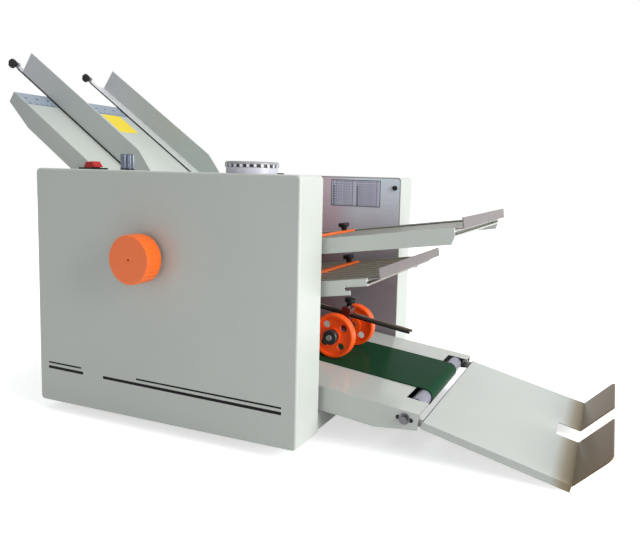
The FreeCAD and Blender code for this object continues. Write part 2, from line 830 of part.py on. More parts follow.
def drive_belts():
    main = doc.addObject("Part::Feature", "main_belt")
    ends = (("roller_x", "roller_low_z", "pulley_radius + moving_gap"),
            ("motor_x", "motor_z", "motor_pulley_radius + moving_gap"))
    main.Shape = belt_loop(ends, "drive_belt_thick", "pulley_start + pulley_side + moving_gap",
                           "pulley_face - 2 * moving_gap")
    transfer = doc.addObject("Part::Feature", "transfer_belt")
    ends = (("roller_x", "roller_low_z", "transfer_radius + moving_gap"),
            ("inner_x", "inner_z", "transfer_radius + moving_gap"))
    transfer.Shape = belt_loop(ends, "drive_belt_thick", "transfer_start + pulley_side + moving_gap",
                               "transfer_face - 2 * moving_gap")
    group("drive_belts", [main, transfer])


# Feed tray, its separator pad and side guides; drawn flat, X down the slope, and then tilted

def on_feed_tray(body):
    seat(body, "feed_top_x", "0", "feed_top_z", turn_about_y("feed_angle"))


def side_studs(body, places):
    """Round spacers that carry a plate or tray between the side plates."""
    for x, z in places:
        for start in ("tray_half - sheet / 2", "-half_gap"):
            pad(body, "XZ", (x, z, "stud_radius"), start, "half_gap - tray_half + sheet / 2")


def feed_tray():
    body = new_body("feed_tray")
    tongue = "feed_length + feed_tongue"
    low = "paper_line - feed_tongue_width / 2"
    high = "paper_line + feed_tongue_width / 2"
    outline = (
        ("0", "-tray_half"), ("feed_length", "-tray_half"), ("feed_length", low), (tongue, low),
        (tongue, high), ("feed_length", high), ("feed_length", "tray_half"), ("0", "tray_half"),
    )
    pad(body, "XY", outline, "-sheet", "sheet")
    flange = (("0", "-sheet / 2"), ("feed_length", "-sheet / 2"), ("feed_length", "-feed_flange"),
              ("feed_flange_taper", "-feed_flange"), ("0", "-feed_flange_end"))
    for start in ("-tray_half", "tray_half - sheet"):
        pad(body, "XZ", flange, start, "sheet")
    pad(body, "YZ", rectangle("-tray_half", "tray_half", "-feed_end_lip", "-sheet / 2"), "0", "sheet")
    reaches = ("feed_stud_inner", "feed_stud_outer")
    side_studs(body, [("feed_length - " + reach, "-feed_stud_drop") for reach in reaches])
    on_feed_tray(body)
    keep(body, "feed_tray")


def separator_pad():
    body = new_body("separator_pad")
    block = rectangle("feed_along - pad_length / 2", "feed_along + pad_length / 2",
                      "paper_line - pad_width / 2", "paper_line + pad_width / 2")
    pad(body, "XY", block, "0", "pad_thick")
    on_feed_tray(body)
    keep(body, "separator_pad")


def side_guide(name, side):
    """A folded side guide: upright, base flange, and a tail with an ear for the clamp knob."""
    body = new_body(name)
    end = "guide_length - guide_overhang"
    floor = "moving_gap"
    top = "moving_gap + guide_height"
    upright = (("-guide_overhang", floor), (end, floor), (end, "moving_gap + guide_nose_height"),
               (end + " - guide_nose", top), ("-guide_overhang", top))
    line = "paper_line %s guide_spread" % side
    start = line if side == "+" else line + " - guide_sheet"
    pad(body, "XZ", upright, start, "guide_sheet")
    inward = "-" if side == "+" else "+"
    wall = line + " %s guide_sheet / 2" % side
    rim = line + " %s guide_flange" % inward
    back = "-guide_overhang - guide_tail"
    if side == "+":
        ear_start = rim
        tail = rim + " + guide_tail_width"
        flange = ((back, rim), (end, rim), (end, wall), ("-guide_overhang", wall), ("-guide_overhang", tail),
                  (back, tail))
    else:
        ear_start = start
        tail = line + " + guide_tail_width"
        flange = ((back, wall), (end, wall), (end, rim), ("-guide_overhang", rim), ("-guide_overhang", tail),
                  (back, tail))
    pad(body, "XY", flange, floor, "guide_sheet")
    ear = rectangle(back, back + " + 2 * guide_knob_radius", floor, floor + " + guide_ear_height")
    pad(body, "XZ", ear, ear_start, "guide_sheet")
    hole = (back + " + guide_knob_radius", "moving_gap + guide_sheet + guide_ear_rise",
            "knob_stud_radius + running_gap")
    cut(body, "XZ", hole, ear_start, "guide_sheet")
    on_feed_tray(body)
    keep(body, name)


def guide_knob(name, side):
    """A clamp knob on the near side of a guide's ear, with its nut behind the ear."""
    body = new_body(name)
    nut = "-guide_sheet - moving_gap"
    end = nut + " - guide_nut_height"
    edge = "guide_knob_radius - knob_stud_radius / 2"
    top = "moving_gap + guide_knob_height"
    revolve(body, (
        ("0", end), ("guide_nut_radius", end), ("guide_nut_radius", nut), ("knob_stud_radius", nut),
        ("knob_stud_radius", "moving_gap"), ("guide_knob_radius", "moving_gap"),
        ("guide_knob_radius", top + " - knob_stud_radius / 2"), (edge, top), ("0", top),
    ))
    back = "(guide_overhang + guide_tail - guide_knob_radius)"
    rise = "(moving_gap + guide_sheet + guide_ear_rise)"
    ear_face = "paper_line + guide_spread - guide_flange"
    if side == "-":
        ear_face = "paper_line - guide_spread - guide_sheet"
    seat(body, "feed_top_x - %s * cos(feed_angle) + %s * sin(feed_angle)" % (back, rise), ear_face,
         "feed_top_z + %s * sin(feed_angle) + %s * cos(feed_angle)" % (back, rise), TOWARDS_NEAR)
    keep(body, name)


# Comb fold plates, their bare end channels, stop bars and clamp knobs

def comb_plate(name, first, last, drop, flange, studs, place, slot=None):
    """Two rows of ribs with the sheet's gap between them, held between two folded side flanges."""
    pieces = []
    for side, start, lip, post in (
            ("near", "-tray_half", ("-tray_half", "flange_lip - tray_half"), "-half_gap"),
            ("far", "tray_half - sheet", ("tray_half - flange_lip", "tray_half"), "tray_half - sheet / 2")):
        body = new_body("%s_%s_flange" % (name, side))
        pad(body, "XZ", flange, start, "sheet")
        pad(body, "XY", rectangle(first, last, *lip), "-sheet", "sheet")
        for x in studs:
            spot = (x, "-flange_height / 2", "stud_radius")
            pad(body, "XZ", spot, post, "half_gap - tray_half + sheet / 2")
        if slot:
            cut(body, "XZ", slot, start, "sheet")
        pieces.append(body)
    for layer, level in (("upper", "-(%s) - comb_thick" % drop), ("lower", "-(%s) - comb_depth" % drop)):
        body = new_body("%s_%s_comb" % (name, layer))
        for low, high in ((first, "%s + comb_tie" % first), ("%s - comb_tie" % last, last)):
            tie = rectangle(low, high, "sheet - tray_half", "tray_half - sheet")
            pad(body, "XY", tie, level, "comb_thick")
        rib = pad(body, "XY", rectangle(first, last, "sheet - tray_half", "sheet + comb_rib - tray_half"),
                  level, "comb_thick")
        row_pattern(body, rib, "Y", "2 * rib_half", "comb_ribs")
        pieces.append(body)
    for body in pieces:
        place(body)
    group(name, pieces)


def right_place(body, level, angle):
    seat(body, "half_length", "0", level, turn_about_y("-" + angle))


def left_turn():
    half_turn = FreeCAD.Rotation(FreeCAD.Vector(0, 0, 1), 180)
    return turn_about_y("left_angle").multiply(half_turn)


def upper_fold_plate():
    flange = (
        ("-comb_in", "0"), ("upper_reach", "0"), ("upper_reach", "-(flange_height - upper_cut * 2)"),
        ("upper_reach - upper_cut", "-flange_height"), ("comb_taper - comb_in", "-flange_height"),
        ("-comb_in", "comb_taper - flange_height"),
    )
    studs = [stud + " - comb_in" for stud in ("plate_stud_inner", "plate_stud_outer")]
    comb_plate("upper_fold_plate", "-comb_in", "upper_reach", "upper_drop", flange, studs,
               lambda body: right_place(body, "upper_z", "upper_angle"))


def lower_fold_plate():
    slot_floor = "-(hook_arm + hook_slot)"
    flange = (
        ("-comb_in", "0"), ("lower_reach", "0"), ("lower_reach", "-hook_arm"), ("hook_root", "-hook_arm"),
        ("hook_root", slot_floor), ("hook_tab", slot_floor), ("hook_tab", "-flange_height"),
        ("comb_taper - comb_in", "-flange_height"), ("-comb_in", "comb_taper - flange_height"),
    )
    studs = [stud + " - comb_in" for stud in ("plate_stud_inner", "plate_stud_outer")]
    slot = ("hook_root", "-hook_arm - hook_slot / 2", "hook_slot / 2")
    comb_plate("lower_fold_plate", "-comb_in", "lower_reach", "lower_drop", flange, studs,
               lambda body: right_place(body, "lower_z", "lower_angle"), slot)


def left_fold_plate(name, level):
    flange = (
        ("0", "0"), ("left_reach", "0"), ("left_reach", "-flange_height"),
        ("comb_taper", "-flange_height"), ("0", "comb_taper - flange_height"),
    )
    comb_plate(name, "0", "left_reach", "left_drop", flange, ("plate_stud_inner", "plate_stud_outer"),
               lambda body: seat(body, "left_x", "0", level + " + left_rise", left_turn()))


def plate_end(name, reach, out, level, angle):
    """The bare metal channel that closes a comb plate's outer end."""
    body = new_body(name)
    edge = "%s + %s" % (reach, out)
    low = "-end_lip_drop"
    profile = (
        (reach, low), (edge, low), (edge, "end_lip_height - end_lip_drop"),
        (edge + " - sheet", "end_lip_height - end_lip_drop"), (edge + " - sheet", "sheet - end_lip_drop"),
        (reach, "sheet - end_lip_drop"),
    )
    pad(body, "XZ", profile, "-end_half", "2 * end_half")
    right_place(body, level, angle)
    keep(body, name)


def stop_bar(name, centre, drop, middle):
    """A cross bar that slides on the ribs, with fingers down through the sheet's gap."""
    body = new_body(name)
    floor = "moving_gap - (%s)" % drop
    bar = rectangle(centre + " - stop_width / 2", centre + " + stop_width / 2",
                    middle + " - stop_half", middle + " + stop_half")
    pad(body, "XY", bar, floor, "stop_thick")
    finger = rectangle(centre + " - stop_finger / 2", centre + " + stop_finger / 2",
                       "-finger_half - stop_finger / 2", "stop_finger / 2 - finger_half")
    depth = "comb_depth + 2 * moving_gap + stop_thick / 2"
    post = pad(body, "XY", finger, "-(%s) - comb_depth - moving_gap" % drop, depth)
    row_pattern(body, post, "Y", "2 * finger_half", "stop_fingers")
    return body


def right_stop(name, centre, drop, level, angle):
    body = stop_bar(name, centre, drop, "paper_line")
    hole = (centre + " - stop_knob_back", "paper_line + stop_knob_y", "knob_stud_radius + running_gap")
    cut(body, "XY", hole, "-(%s)" % drop, "stop_thick + overrun")
    right_place(body, level, angle)
    keep(body, name)


def left_stop(name, level):
    body = stop_bar(name, "left_stop", "left_drop", "-paper_line")
    seat(body, "left_x", "0", level + " + left_rise", left_turn())
    keep(body, name)


def stop_knob(name, centre, drop, level, angle):
    body = new_body(name)
    foot = "moving_gap - (%s)" % drop
    base = foot + " + stop_thick + moving_gap"
    head = base + " + stop_neck_height"
    top = head + " + stop_knob_height"
    bevel = "knob_stud_radius / 2"
    revolve(body, (
        ("0", foot), ("knob_stud_radius", foot), ("knob_stud_radius", base), ("stop_neck_radius", base),
        ("stop_neck_radius", head), ("stop_knob_radius", head),
        ("stop_knob_radius", "%s - %s" % (top, bevel)), ("stop_knob_radius - " + bevel, top), ("0", top),
    ))
    along = "(%s - stop_knob_back)" % centre
    seat(body, "half_length + %s * cos(%s)" % (along, angle), "paper_line + stop_knob_y",
         "%s + %s * sin(%s)" % (level, along, angle), turn_about_y("-" + angle))
    keep(body, name)


# Belt conveyor

def on_conveyor(body):
    seat(body, "half_length", "0", "conveyor_z", turn_about_y("conveyor_angle"))


def conveyor_cover():
    body = new_body("conveyor_cover")
    low = "paper_line - notch_half"
    high = "paper_line + notch_half"
    top = (
        ("-conveyor_in", "-tray_half"), ("conveyor_out", "-tray_half"), ("conveyor_out", low),
        ("notch_start", low), ("notch_start", high), ("conveyor_out", high), ("conveyor_out", "tray_half"),
        ("-conveyor_in", "tray_half"),
    )
    pad(body, "XY", top, "-sheet", "sheet")
    flange = (
        ("-conveyor_in", "-sheet / 2"), ("conveyor_out", "-sheet / 2"),
        ("conveyor_out", "-conveyor_flange_end"),
        ("conveyor_kink", "-conveyor_flange"), ("-conveyor_in", "-conveyor_flange"),
    )
    for start in ("-tray_half", "tray_half - sheet"):
        pad(body, "XZ", flange, start, "sheet")
    side_studs(body, [("x - conveyor_in".replace("x", inner), "-conveyor_stud_drop")
                      for inner in ("conveyor_stud_inner", "conveyor_stud_outer")])
    straight = "slot_length - slot_width"
    ends = ("end_roller_x - (%s) / 2" % straight, "end_roller_x + (%s) / 2" % straight)
    level = "-conveyor_roller_radius"
    through = ("-tray_half - overrun", "tray_width + 2 * overrun")
    cut(body, "XZ", rectangle(*ends, level + " - slot_width / 2", level + " + slot_width / 2"), *through)
    for end in ends:
        cut(body, "XZ", (end, level, "slot_width / 2"), *through)
    for start in ("sheet / 2 - tray_half", "tray_half - sheet - hinge_pin_length"):
        pad(body, "XZ", ("hinge_x", "-hinge_drop", "hinge_pin_radius"), start, "hinge_pin_length + sheet / 2")
    on_conveyor(body)
    keep(body, "conveyor_cover")


def conveyor_belt():
    radius = "conveyor_roller_radius + moving_gap"
    level = "-conveyor_roller_radius"
    body = doc.addObject("Part::Feature", "conveyor_belt")
    ends = (("inner_roller_x", level, radius), ("end_roller_x", level, radius))
    body.Shape = belt_loop(ends, "belt_thick", "paper_line - belt_half", "2 * belt_half")
    on_conveyor(body)
    keep(body, "conveyor_belt")


def tension_axle():
    """Fixed axle of the end roller, with a bolt and washer in each tension slot."""
    body = new_body("tension_axle")
    inner = "tray_half - sheet"
    seated = "tray_half + washer_thick"
    head = seated + " + bolt_head"
    right = (("conveyor_axle_radius", inner), ("tension_bolt_radius", inner),
             ("tension_bolt_radius", "tray_half"),
             ("washer_radius", "tray_half"), ("washer_radius", seated), ("bolt_head_radius", seated),
             ("bolt_head_radius", head), ("0", head))
    left = [(radius, "-(%s)" % level) for radius, level in reversed(right)]
    revolve(body, tuple(left) + right)
    x = "half_length + end_roller_x * cos(conveyor_angle) - conveyor_roller_radius * sin(conveyor_angle)"
    z = "conveyor_z - end_roller_x * sin(conveyor_angle) - conveyor_roller_radius * cos(conveyor_angle)"
    seat(body, x, "0", z, ALONG_Y)
    keep(body, "tension_axle")


def conveyor_end_roller():
    body = new_body("conveyor_end_roller")
    bore = "conveyor_axle_radius + running_gap"
    revolve(body, rectangle(bore, "conveyor_roller_radius", "paper_line - conveyor_roller_half",
                            "paper_line + conveyor_roller_half"))
    x = "half_length + end_roller_x * cos(conveyor_angle) - conveyor_roller_radius * sin(conveyor_angle)"
    z = "conveyor_z - end_roller_x * sin(conveyor_angle) - conveyor_roller_radius * cos(conveyor_angle)"
    seat(body, x, "0", z, ALONG_Y)
    keep(body, "conveyor_end_roller")


def conveyor_inner_roller():
    body = new_body("conveyor_inner_roller")
    low = "paper_line - conveyor_roller_half"
    high = "paper_line + conveyor_roller_half"
    profile = [
        ("0", "-journal_out"), ("conveyor_axle_radius", "-journal_out"), ("conveyor_axle_radius", low),
        ("conveyor_roller_radius", low), ("conveyor_roller_radius", high), ("conveyor_axle_radius", high),
    ]
    profile += grooved("transfer_radius", "transfer_start", "transfer_face", "conveyor_axle_radius")
    revolve(body, profile)
    seat(body, "inner_x", "0", "inner_z", ALONG_Y)
    keep(body, "conveyor_inner_roller")


# Receiving tray, hinged on the conveyor's two pins

def receiving_tray():
    body = new_body("receiving_tray")
    length = "receiver_length"
    profile = (
        ("0", "0"), (length, "0"), (length + " + lip_dx", "lip_dz"),
        (length + " + lip_dx + sheet * sin(lip_angle)", "lip_dz - sheet * cos(lip_angle)"),
        (length + " + sheet * tan(lip_angle / 2)", "-sheet"), ("0", "-sheet"),
    )
    tray = pad(body, "XZ", profile, "-tray_half", "tray_width")
    lip_end = value("lip_dz") / 2

    def is_corner(edge):
        middle = edge.CenterOfMass
        short = edge.Length < 2 * value("sheet")
        return short and middle.z > lip_end

    round_edges(body, tray, "lip_corner", is_corner)
    flange = (("0", "-sheet / 2"), (length, "-sheet / 2"), (length, "-receiver_flange"),
              ("0", "-receiver_flange"))
    for start in ("-tray_half", "tray_half - sheet"):
        pad(body, "XZ", flange, start, "sheet")
    notch = rectangle(length + " - finger_length", length + " + lip_length",
                      "finger_y - finger_width / 2", "finger_y + finger_width / 2")
    cut(body, "XY", notch, "-sheet - overrun", "lip_length + sheet + 2 * overrun")
    ear = (("ear_x", "ear_z - ear_radius"), ("ear_reach", "-receiver_flange"), ("ear_reach", "-sheet / 2"),
           ("ear_x", "-sheet / 2"))
    outer = "tray_half - sheet - ear_side"
    for start in ("-(%s)" % outer, outer + " - ear_thick"):
        pad(body, "XZ", ear, start, "ear_thick")
        pad(body, "XZ", ("ear_x", "ear_z", "ear_radius"), start, "ear_thick")
    bore = ("ear_x", "ear_z", "hinge_pin_radius + running_gap")
    cut(body, "XZ", bore, "-tray_half - overrun", "tray_width + 2 * overrun")
    seat(body, "receiver_start_x", "0", "receiver_start_z", turn_about_y("receiver_angle"))
    keep(body, "receiving_tray")


# Press wheels on their lifting arm

def on_press_arm(body):
    seat(body, "press_pivot_x", "press_line", "press_pivot_z", turn_about_y("press_angle"))


def press_rods():
    body = new_body("press_rods")
    start = "-press_hub_width / 2"
    pad(body, "XZ", ("0", "0", "press_hub_radius"), start, "press_hub_width")
    for y in ("rod_spread", "-rod_spread"):
        pad(body, "YZ", (y, "0", "rod_radius"), "press_pivot_radius + rod_radius",
            "rod_length - press_pivot_radius - rod_radius")
    cut(body, "XZ", ("0", "0", "press_pivot_radius + running_gap"), start, "press_hub_width")
    on_press_arm(body)
    keep(body, "press_rods")


def press_clamp():
    """The block that slides on the rods and carries the wheels' axle on its leg."""
    body = new_body("press_clamp")
    left = "clamp_x - clamp_length / 2"
    right = "clamp_x + clamp_length / 2"
    block = rectangle(left, right, "-clamp_bottom", "clamp_top")
    pad(body, "XZ", block, "-clamp_width / 2", "clamp_width")
    leg = rectangle(left, right, "-axle_drop", "-clamp_bottom / 2")
    pad(body, "XZ", leg, "-clamp_leg / 2", "clamp_leg")
    pad(body, "XZ", ("clamp_x", "-axle_drop", "clamp_length / 2"), "-clamp_leg / 2", "clamp_leg")
    cut(body, "XZ", ("clamp_x", "-axle_drop", "axle_radius"), "-clamp_leg / 2", "clamp_leg")
    for y in ("rod_spread", "-rod_spread"):
        cut(body, "YZ", (y, "0", "rod_radius + running_gap"), left, "clamp_length")
    hole = ("clamp_x", "0", "press_stud_radius + running_gap")
    cut(body, "XY", hole, "clamp_top - press_stud_depth", "press_stud_depth + overrun")
    on_press_arm(body)
    keep(body, "press_clamp")


def press_axle():
    body = new_body("press_axle")
    inner = "wheel_half + 2 * moving_gap"
    end = inner + " + axle_cap"
    right = (("axle_radius", inner), ("axle_cap_radius", inner), ("axle_cap_radius", end), ("0", end))
    left = [(radius, "-(%s)" % level) for radius, level in reversed(right)]
    revolve(body, tuple(left) + right)
    seat(body, "press_pivot_x + clamp_x * cos(press_angle) - axle_drop * sin(press_angle)", "press_line",
         "press_pivot_z - clamp_x * sin(press_angle) - axle_drop * cos(press_angle)", ALONG_Y)
    keep(body, "press_axle")


def press_wheel(name, side):
    """A spoked-out disc wheel: thick rim, thin web with round holes, and a hub."""
    body = new_body(name)
    bore = "axle_radius + running_gap"
    half = "wheel_width / 2"
    web = "wheel_web / 2"
    rim = "wheel_radius - wheel_rim"
    wheel = revolve(body, (
        (bore, "-" + half), ("wheel_hub", "-" + half), ("wheel_hub", "-" + web), (rim, "-" + web),
        (rim, "-" + half), ("wheel_radius", "-" + half), ("wheel_radius", half), (rim, half),
        (rim, web), ("wheel_hub", web), ("wheel_hub", half), (bore, half),
    ))
    side_face = value(half)

    def on_rim(edge):
        turned = isinstance(edge.Curve, Part.Circle) and edge.Curve.Radius > value(rim) - 1e-6
        return turned and abs(abs(edge.CenterOfMass.z) - side_face) < 1e-6

    round_edges(body, wheel, "wheel_round", on_rim)
    hole = cut(body, "XY", ("wheel_hole_row", "0", "wheel_hole"), "-wheel_web", "2 * wheel_web")
    ring_pattern(body, hole, "wheel_holes")
    spin = FreeCAD.Rotation(FreeCAD.Vector(0, 0, 1), -value("4 * press_angle"))
    seat(body, "press_pivot_x + clamp_x * cos(press_angle) - axle_drop * sin(press_angle)",
         "press_line %s wheel_spread" % side,
         "press_pivot_z - clamp_x * sin(press_angle) - axle_drop * cos(press_angle)", ALONG_Y.multiply(spin))
    keep(body, name)


def press_knob():
    body = new_body("press_knob")
    foot = "clamp_top - press_stud_depth + moving_gap"
    base = "clamp_top + moving_gap"
    head = base + " + press_neck"
    top = head + " + press_knob_height"
    bevel = "press_stud_radius / 2"
    revolve(body, (
        ("0", foot), ("press_stud_radius", foot), ("press_stud_radius", base), ("press_neck_radius", base),
        ("press_neck_radius", head), ("press_knob_radius", head),
        ("press_knob_radius", "%s - %s" % (top, bevel)), ("press_knob_radius - " + bevel, top), ("0", top),
    ))
    seat(body, "press_pivot_x + clamp_x * cos(press_angle)", "press_line",
         "press_pivot_z - clamp_x * sin(press_angle)", turn_about_y("press_angle"))
    keep(body, "press_knob")


# Controls on the near cover, and the power inlet

def dial_base():
    body = new_body("dial_base")
    revolve(body, rectangle("spindle_radius + running_gap", "dial_base_radius", "0", "dial_base_height"))
    seat(body, "dial_x", "dial_y - cover_out", "cover_height")
    keep(body, "dial_base")


def dial():
    body = new_body("dial")
    base = "dial_base_height + moving_gap"
    top = base + " + dial_height"
    revolve(body, (
        ("0", "-spindle_drop"), ("spindle_radius", "-spindle_drop"), ("spindle_radius", base),
        ("dial_radius", base), ("dial_radius", top + " - dial_bevel"), ("dial_radius - dial_bevel", top),
        ("0", top),
    ))
    slot = rectangle("dial_radius - dial_slot_depth", "dial_radius + overrun",
                     "-dial_slot / 2", "dial_slot / 2")
    ring_pattern(body, cut(body, "XY", slot, base, "dial_slot_height"), "dial_slots")
    seat(body, "dial_x", "dial_y - cover_out", "cover_height")
    keep(body, "dial")


def switch_bezel():
    body = new_body("switch_bezel")
    rim = rectangle("-bezel_length / 2", "bezel_length / 2", "-bezel_width / 2", "bezel_width / 2")
    pad(body, "XY", rim, "0", "bezel_thick")
    window = rectangle("-rocker_length / 2 - moving_gap", "rocker_length / 2 + moving_gap",
                       "-rocker_width / 2 - moving_gap", "rocker_width / 2 + moving_gap")
    cut(body, "XY", window, "0", "bezel_thick")
    seat(body, "switch_x", "control_y - cover_out", "cover_height")
    keep(body, "switch_bezel")


def switch_rocker():
    body = new_body("switch_rocker")
    half = "rocker_length / 2"
    profile = (("-" + half, "0"), (half, "0"), (half + " - rocker_side", "rocker_rise"),
               ("rocker_side - " + half, "rocker_rise"))
    pad(body, "XZ", profile, "-rocker_width / 2", "rocker_width")
    pad(body, "XZ", ("0", "0", "rocker_boss"), "-rocker_width / 2", "rocker_width")
    seat(body, "switch_x", "control_y - cover_out", "cover_height + rocker_lift",
         turn_about_y("-rocker_tilt"))
    keep(body, "switch_rocker")


def speed_knob():
    body = new_body("speed_knob")
    bevel = "spindle_radius / 3"
    revolve(body, (
        ("0", "-spindle_drop"), ("spindle_radius", "-spindle_drop"), ("spindle_radius", "moving_gap"),
        ("speed_radius", "moving_gap"), ("speed_radius", "speed_height - " + bevel),
        ("speed_radius - " + bevel, "speed_height"), ("0", "speed_height"),
    ))
    seat(body, "speed_x", "control_y - cover_out", "cover_height")
    keep(body, "speed_knob")


def power_inlet():
    """A flanged mains inlet in the far cover's left end, with an open socket."""
    body = new_body("power_inlet")
    wide = "inlet_width / 2"
    tall = "inlet_height / 2"
    rim = "inlet_flange"
    flange = rectangle("-%s - %s" % (wide, rim), "%s + %s" % (wide, rim), "-%s - %s" % (tall, rim),
                       "%s + %s" % (tall, rim))
    pad(body, "YZ", flange, "-inlet_flange", "inlet_flange")
    shell = rectangle("moving_gap - " + wide, wide + " - moving_gap", "moving_gap - " + tall,
                      tall + " - moving_gap")
    pad(body, "YZ", shell, "-inlet_flange", "inlet_depth + inlet_flange")
    socket = rectangle("inlet_wall - " + wide, wide + " - inlet_wall", "inlet_wall - " + tall,
                       tall + " - inlet_wall")
    cut(body, "YZ", socket, "-inlet_flange", "inlet_depth + inlet_flange - inlet_wall")
    seat(body, "-half_length", "cover_out - control_y", "inlet_z")
    keep(body, "power_inlet")


def build():
    base_plate()
    side_plate("near_side_plate", "-plate_out", False)
    side_plate("far_side_plate", "half_gap", True)
    tie_bars()
    near_cover()
    far_cover()
    feet()
    plate_screws()
    for number in range(1, 7):
        fold_roller(number)
    drive_shaft()
    hand_wheel()
    feed_shaft()
    feed_wheels()
    drive_pulley()
    motor()
    motor_pulley()
    drive_belts()
    feed_tray()
    separator_pad()
    for side, word in (("-", "near"), ("+", "far")):
        side_guide(word + "_guide", side)
        guide_knob(word + "_guide_knob", side)
        press_wheel(word + "_press_wheel", side)
    upper_fold_plate()
    lower_fold_plate()
    left_fold_plate("left_upper_fold_plate", "nip_high")
    left_fold_plate("left_lower_fold_plate", "nip_low")
    plate_end("upper_plate_end", "upper_reach", "upper_lip_out", "upper_z", "upper_angle")
    plate_end("lower_plate_end", "lower_reach", "lower_lip_out", "lower_z", "lower_angle")
    right_stop("upper_stop_bar", "upper_stop", "upper_drop", "upper_z", "upper_angle")
    right_stop("lower_stop_bar", "lower_stop", "lower_drop", "lower_z", "lower_angle")
    left_stop("left_upper_stop_bar", "nip_high")
    left_stop("left_lower_stop_bar", "nip_low")
    stop_knob("upper_stop_knob", "upper_stop", "upper_drop", "upper_z", "upper_angle")
    stop_knob("lower_stop_knob", "lower_stop", "lower_drop", "lower_z", "lower_angle")
    conveyor_cover()
    conveyor_belt()
    tension_axle()
    conveyor_end_roller()
    conveyor_inner_roller()
    receiving_tray()
    press_rods()
    press_clamp()
    press_axle()
    press_knob()
    dial_base()
    dial()
    switch_bezel()
    switch_rocker()
    speed_knob()
    power_inlet()


def check():
    """Stops where any object failed or any part has no valid solid."""
    doc.recompute()
    for thing in doc.Objects:
        if "Invalid" in thing.State or "Error" in thing.State:
            raise RuntimeError("failed object: " + thing.Name)
    for thing in parts:
        if thing.Shape.isNull() or not thing.Shape.isValid() or not thing.Shape.Solids:
            raise RuntimeError("bad shape: " + thing.Label)


def write():
    os.makedirs("parts", exist_ok=True)
    for thing in parts:
        thing.Shape.exportStep(os.path.join("parts", thing.Label + ".step"))
        box = thing.Shape.BoundBox
        print("%-24s %d solids  x %.1f..%.1f  y %.1f..%.1f  z %.1f..%.1f" % (
            thing.Label, len(thing.Shape.Solids), box.XMin, box.XMax, box.YMin, box.YMax, box.ZMin, box.ZMax))


fill_sheet()
build()
check()
write()
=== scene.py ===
import bpy
import bmesh
import math
from mathutils import Matrix, Vector


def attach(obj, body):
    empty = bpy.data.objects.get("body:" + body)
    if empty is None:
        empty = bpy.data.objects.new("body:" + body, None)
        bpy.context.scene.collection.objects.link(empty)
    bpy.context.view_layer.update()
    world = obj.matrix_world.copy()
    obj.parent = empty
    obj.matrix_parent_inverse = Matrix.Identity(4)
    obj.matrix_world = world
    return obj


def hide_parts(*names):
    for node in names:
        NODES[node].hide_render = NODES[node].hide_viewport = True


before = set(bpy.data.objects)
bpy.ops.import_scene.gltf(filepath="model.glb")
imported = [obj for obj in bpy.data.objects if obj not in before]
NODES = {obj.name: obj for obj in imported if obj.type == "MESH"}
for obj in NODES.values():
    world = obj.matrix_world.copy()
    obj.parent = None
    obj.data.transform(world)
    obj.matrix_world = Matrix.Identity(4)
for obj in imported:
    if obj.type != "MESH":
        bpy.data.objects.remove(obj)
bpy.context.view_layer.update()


# Camera: the photograph's view, from the front and the delivery side, slightly above.
# Its place, turns and length come from the straight edges of the covers, plates and trays.

CAMERA_PLACE = Vector((0.5239, -0.8358, 0.3191))
CAMERA_YAW = 0.3919
CAMERA_PITCH = -0.1032
CAMERA_ROLL = 0.0276
CAMERA_LENS = 35.71
CAMERA_SHIFT = (-0.0504, -0.0487)
ahead = Vector((-math.sin(CAMERA_YAW) * math.cos(CAMERA_PITCH),
                math.cos(CAMERA_YAW) * math.cos(CAMERA_PITCH), math.sin(CAMERA_PITCH)))
level_right = Vector((math.cos(CAMERA_YAW), math.sin(CAMERA_YAW), 0))
level_up = level_right.cross(ahead)
camera_right = level_right * math.cos(CAMERA_ROLL) + level_up * math.sin(CAMERA_ROLL)
camera_up = level_up * math.cos(CAMERA_ROLL) - level_right * math.sin(CAMERA_ROLL)
lens = bpy.data.cameras.new("photo_camera")
lens.lens = CAMERA_LENS
lens.sensor_width = 36
lens.shift_x, lens.shift_y = CAMERA_SHIFT
camera = bpy.data.objects.new("photo_camera", lens)
camera.matrix_world = Matrix.Translation(CAMERA_PLACE) @ Matrix(
    (camera_right, camera_up, -ahead)).transposed().to_4x4()
bpy.context.collection.objects.link(camera)
bpy.context.scene.camera = camera
bpy.context.scene.view_settings.view_transform = "Standard"


# Floor and light: a plain white sweep, a broad soft light from the delivery side and above,
# and a weaker one from the front, so the long front face stays a shade darker than the end face.

FLOOR_HEIGHT = -0.014
FLOOR_HALF = 6
GLOW = ((0.35, 0.6), (1.5, 1))  # distance from the middle, strength
ROOM_COLOUR = (0.93, 0.95, 1, 1)
ROOM_STRENGTH = 0.32


def node_tree(owner):
    owner.use_nodes = True
    tree = owner.node_tree
    tree.nodes.clear()
    return tree, tree.nodes, tree.links


def mapped(tree, source, start, end, low=0.0, high=1.0):
    """Carries a value from one range of numbers to another, held at both ends."""
    node = tree.nodes.new("ShaderNodeMapRange")
    node.inputs["From Min"].default_value = start
    node.inputs["From Max"].default_value = end
    node.inputs["To Min"].default_value = low
    node.inputs["To Max"].default_value = high
    tree.links.new(source, node.inputs["Value"])
    return node.outputs[0]


def seen_as_background(nodes, links):
    """1 for rays from the camera and for mirror and glass rays, 0 for the light that falls on things."""
    path = nodes.new("ShaderNodeLightPath")
    glossy = nodes.new("ShaderNodeMath")
    glossy.operation = "MAXIMUM"
    links.new(path.outputs["Is Camera Ray"], glossy.inputs[0])
    links.new(path.outputs["Is Glossy Ray"], glossy.inputs[1])
    through = nodes.new("ShaderNodeMath")
    through.operation = "MAXIMUM"
    links.new(glossy.outputs[0], through.inputs[0])
    links.new(path.outputs["Is Transmission Ray"], through.inputs[1])
    return through.outputs[0]


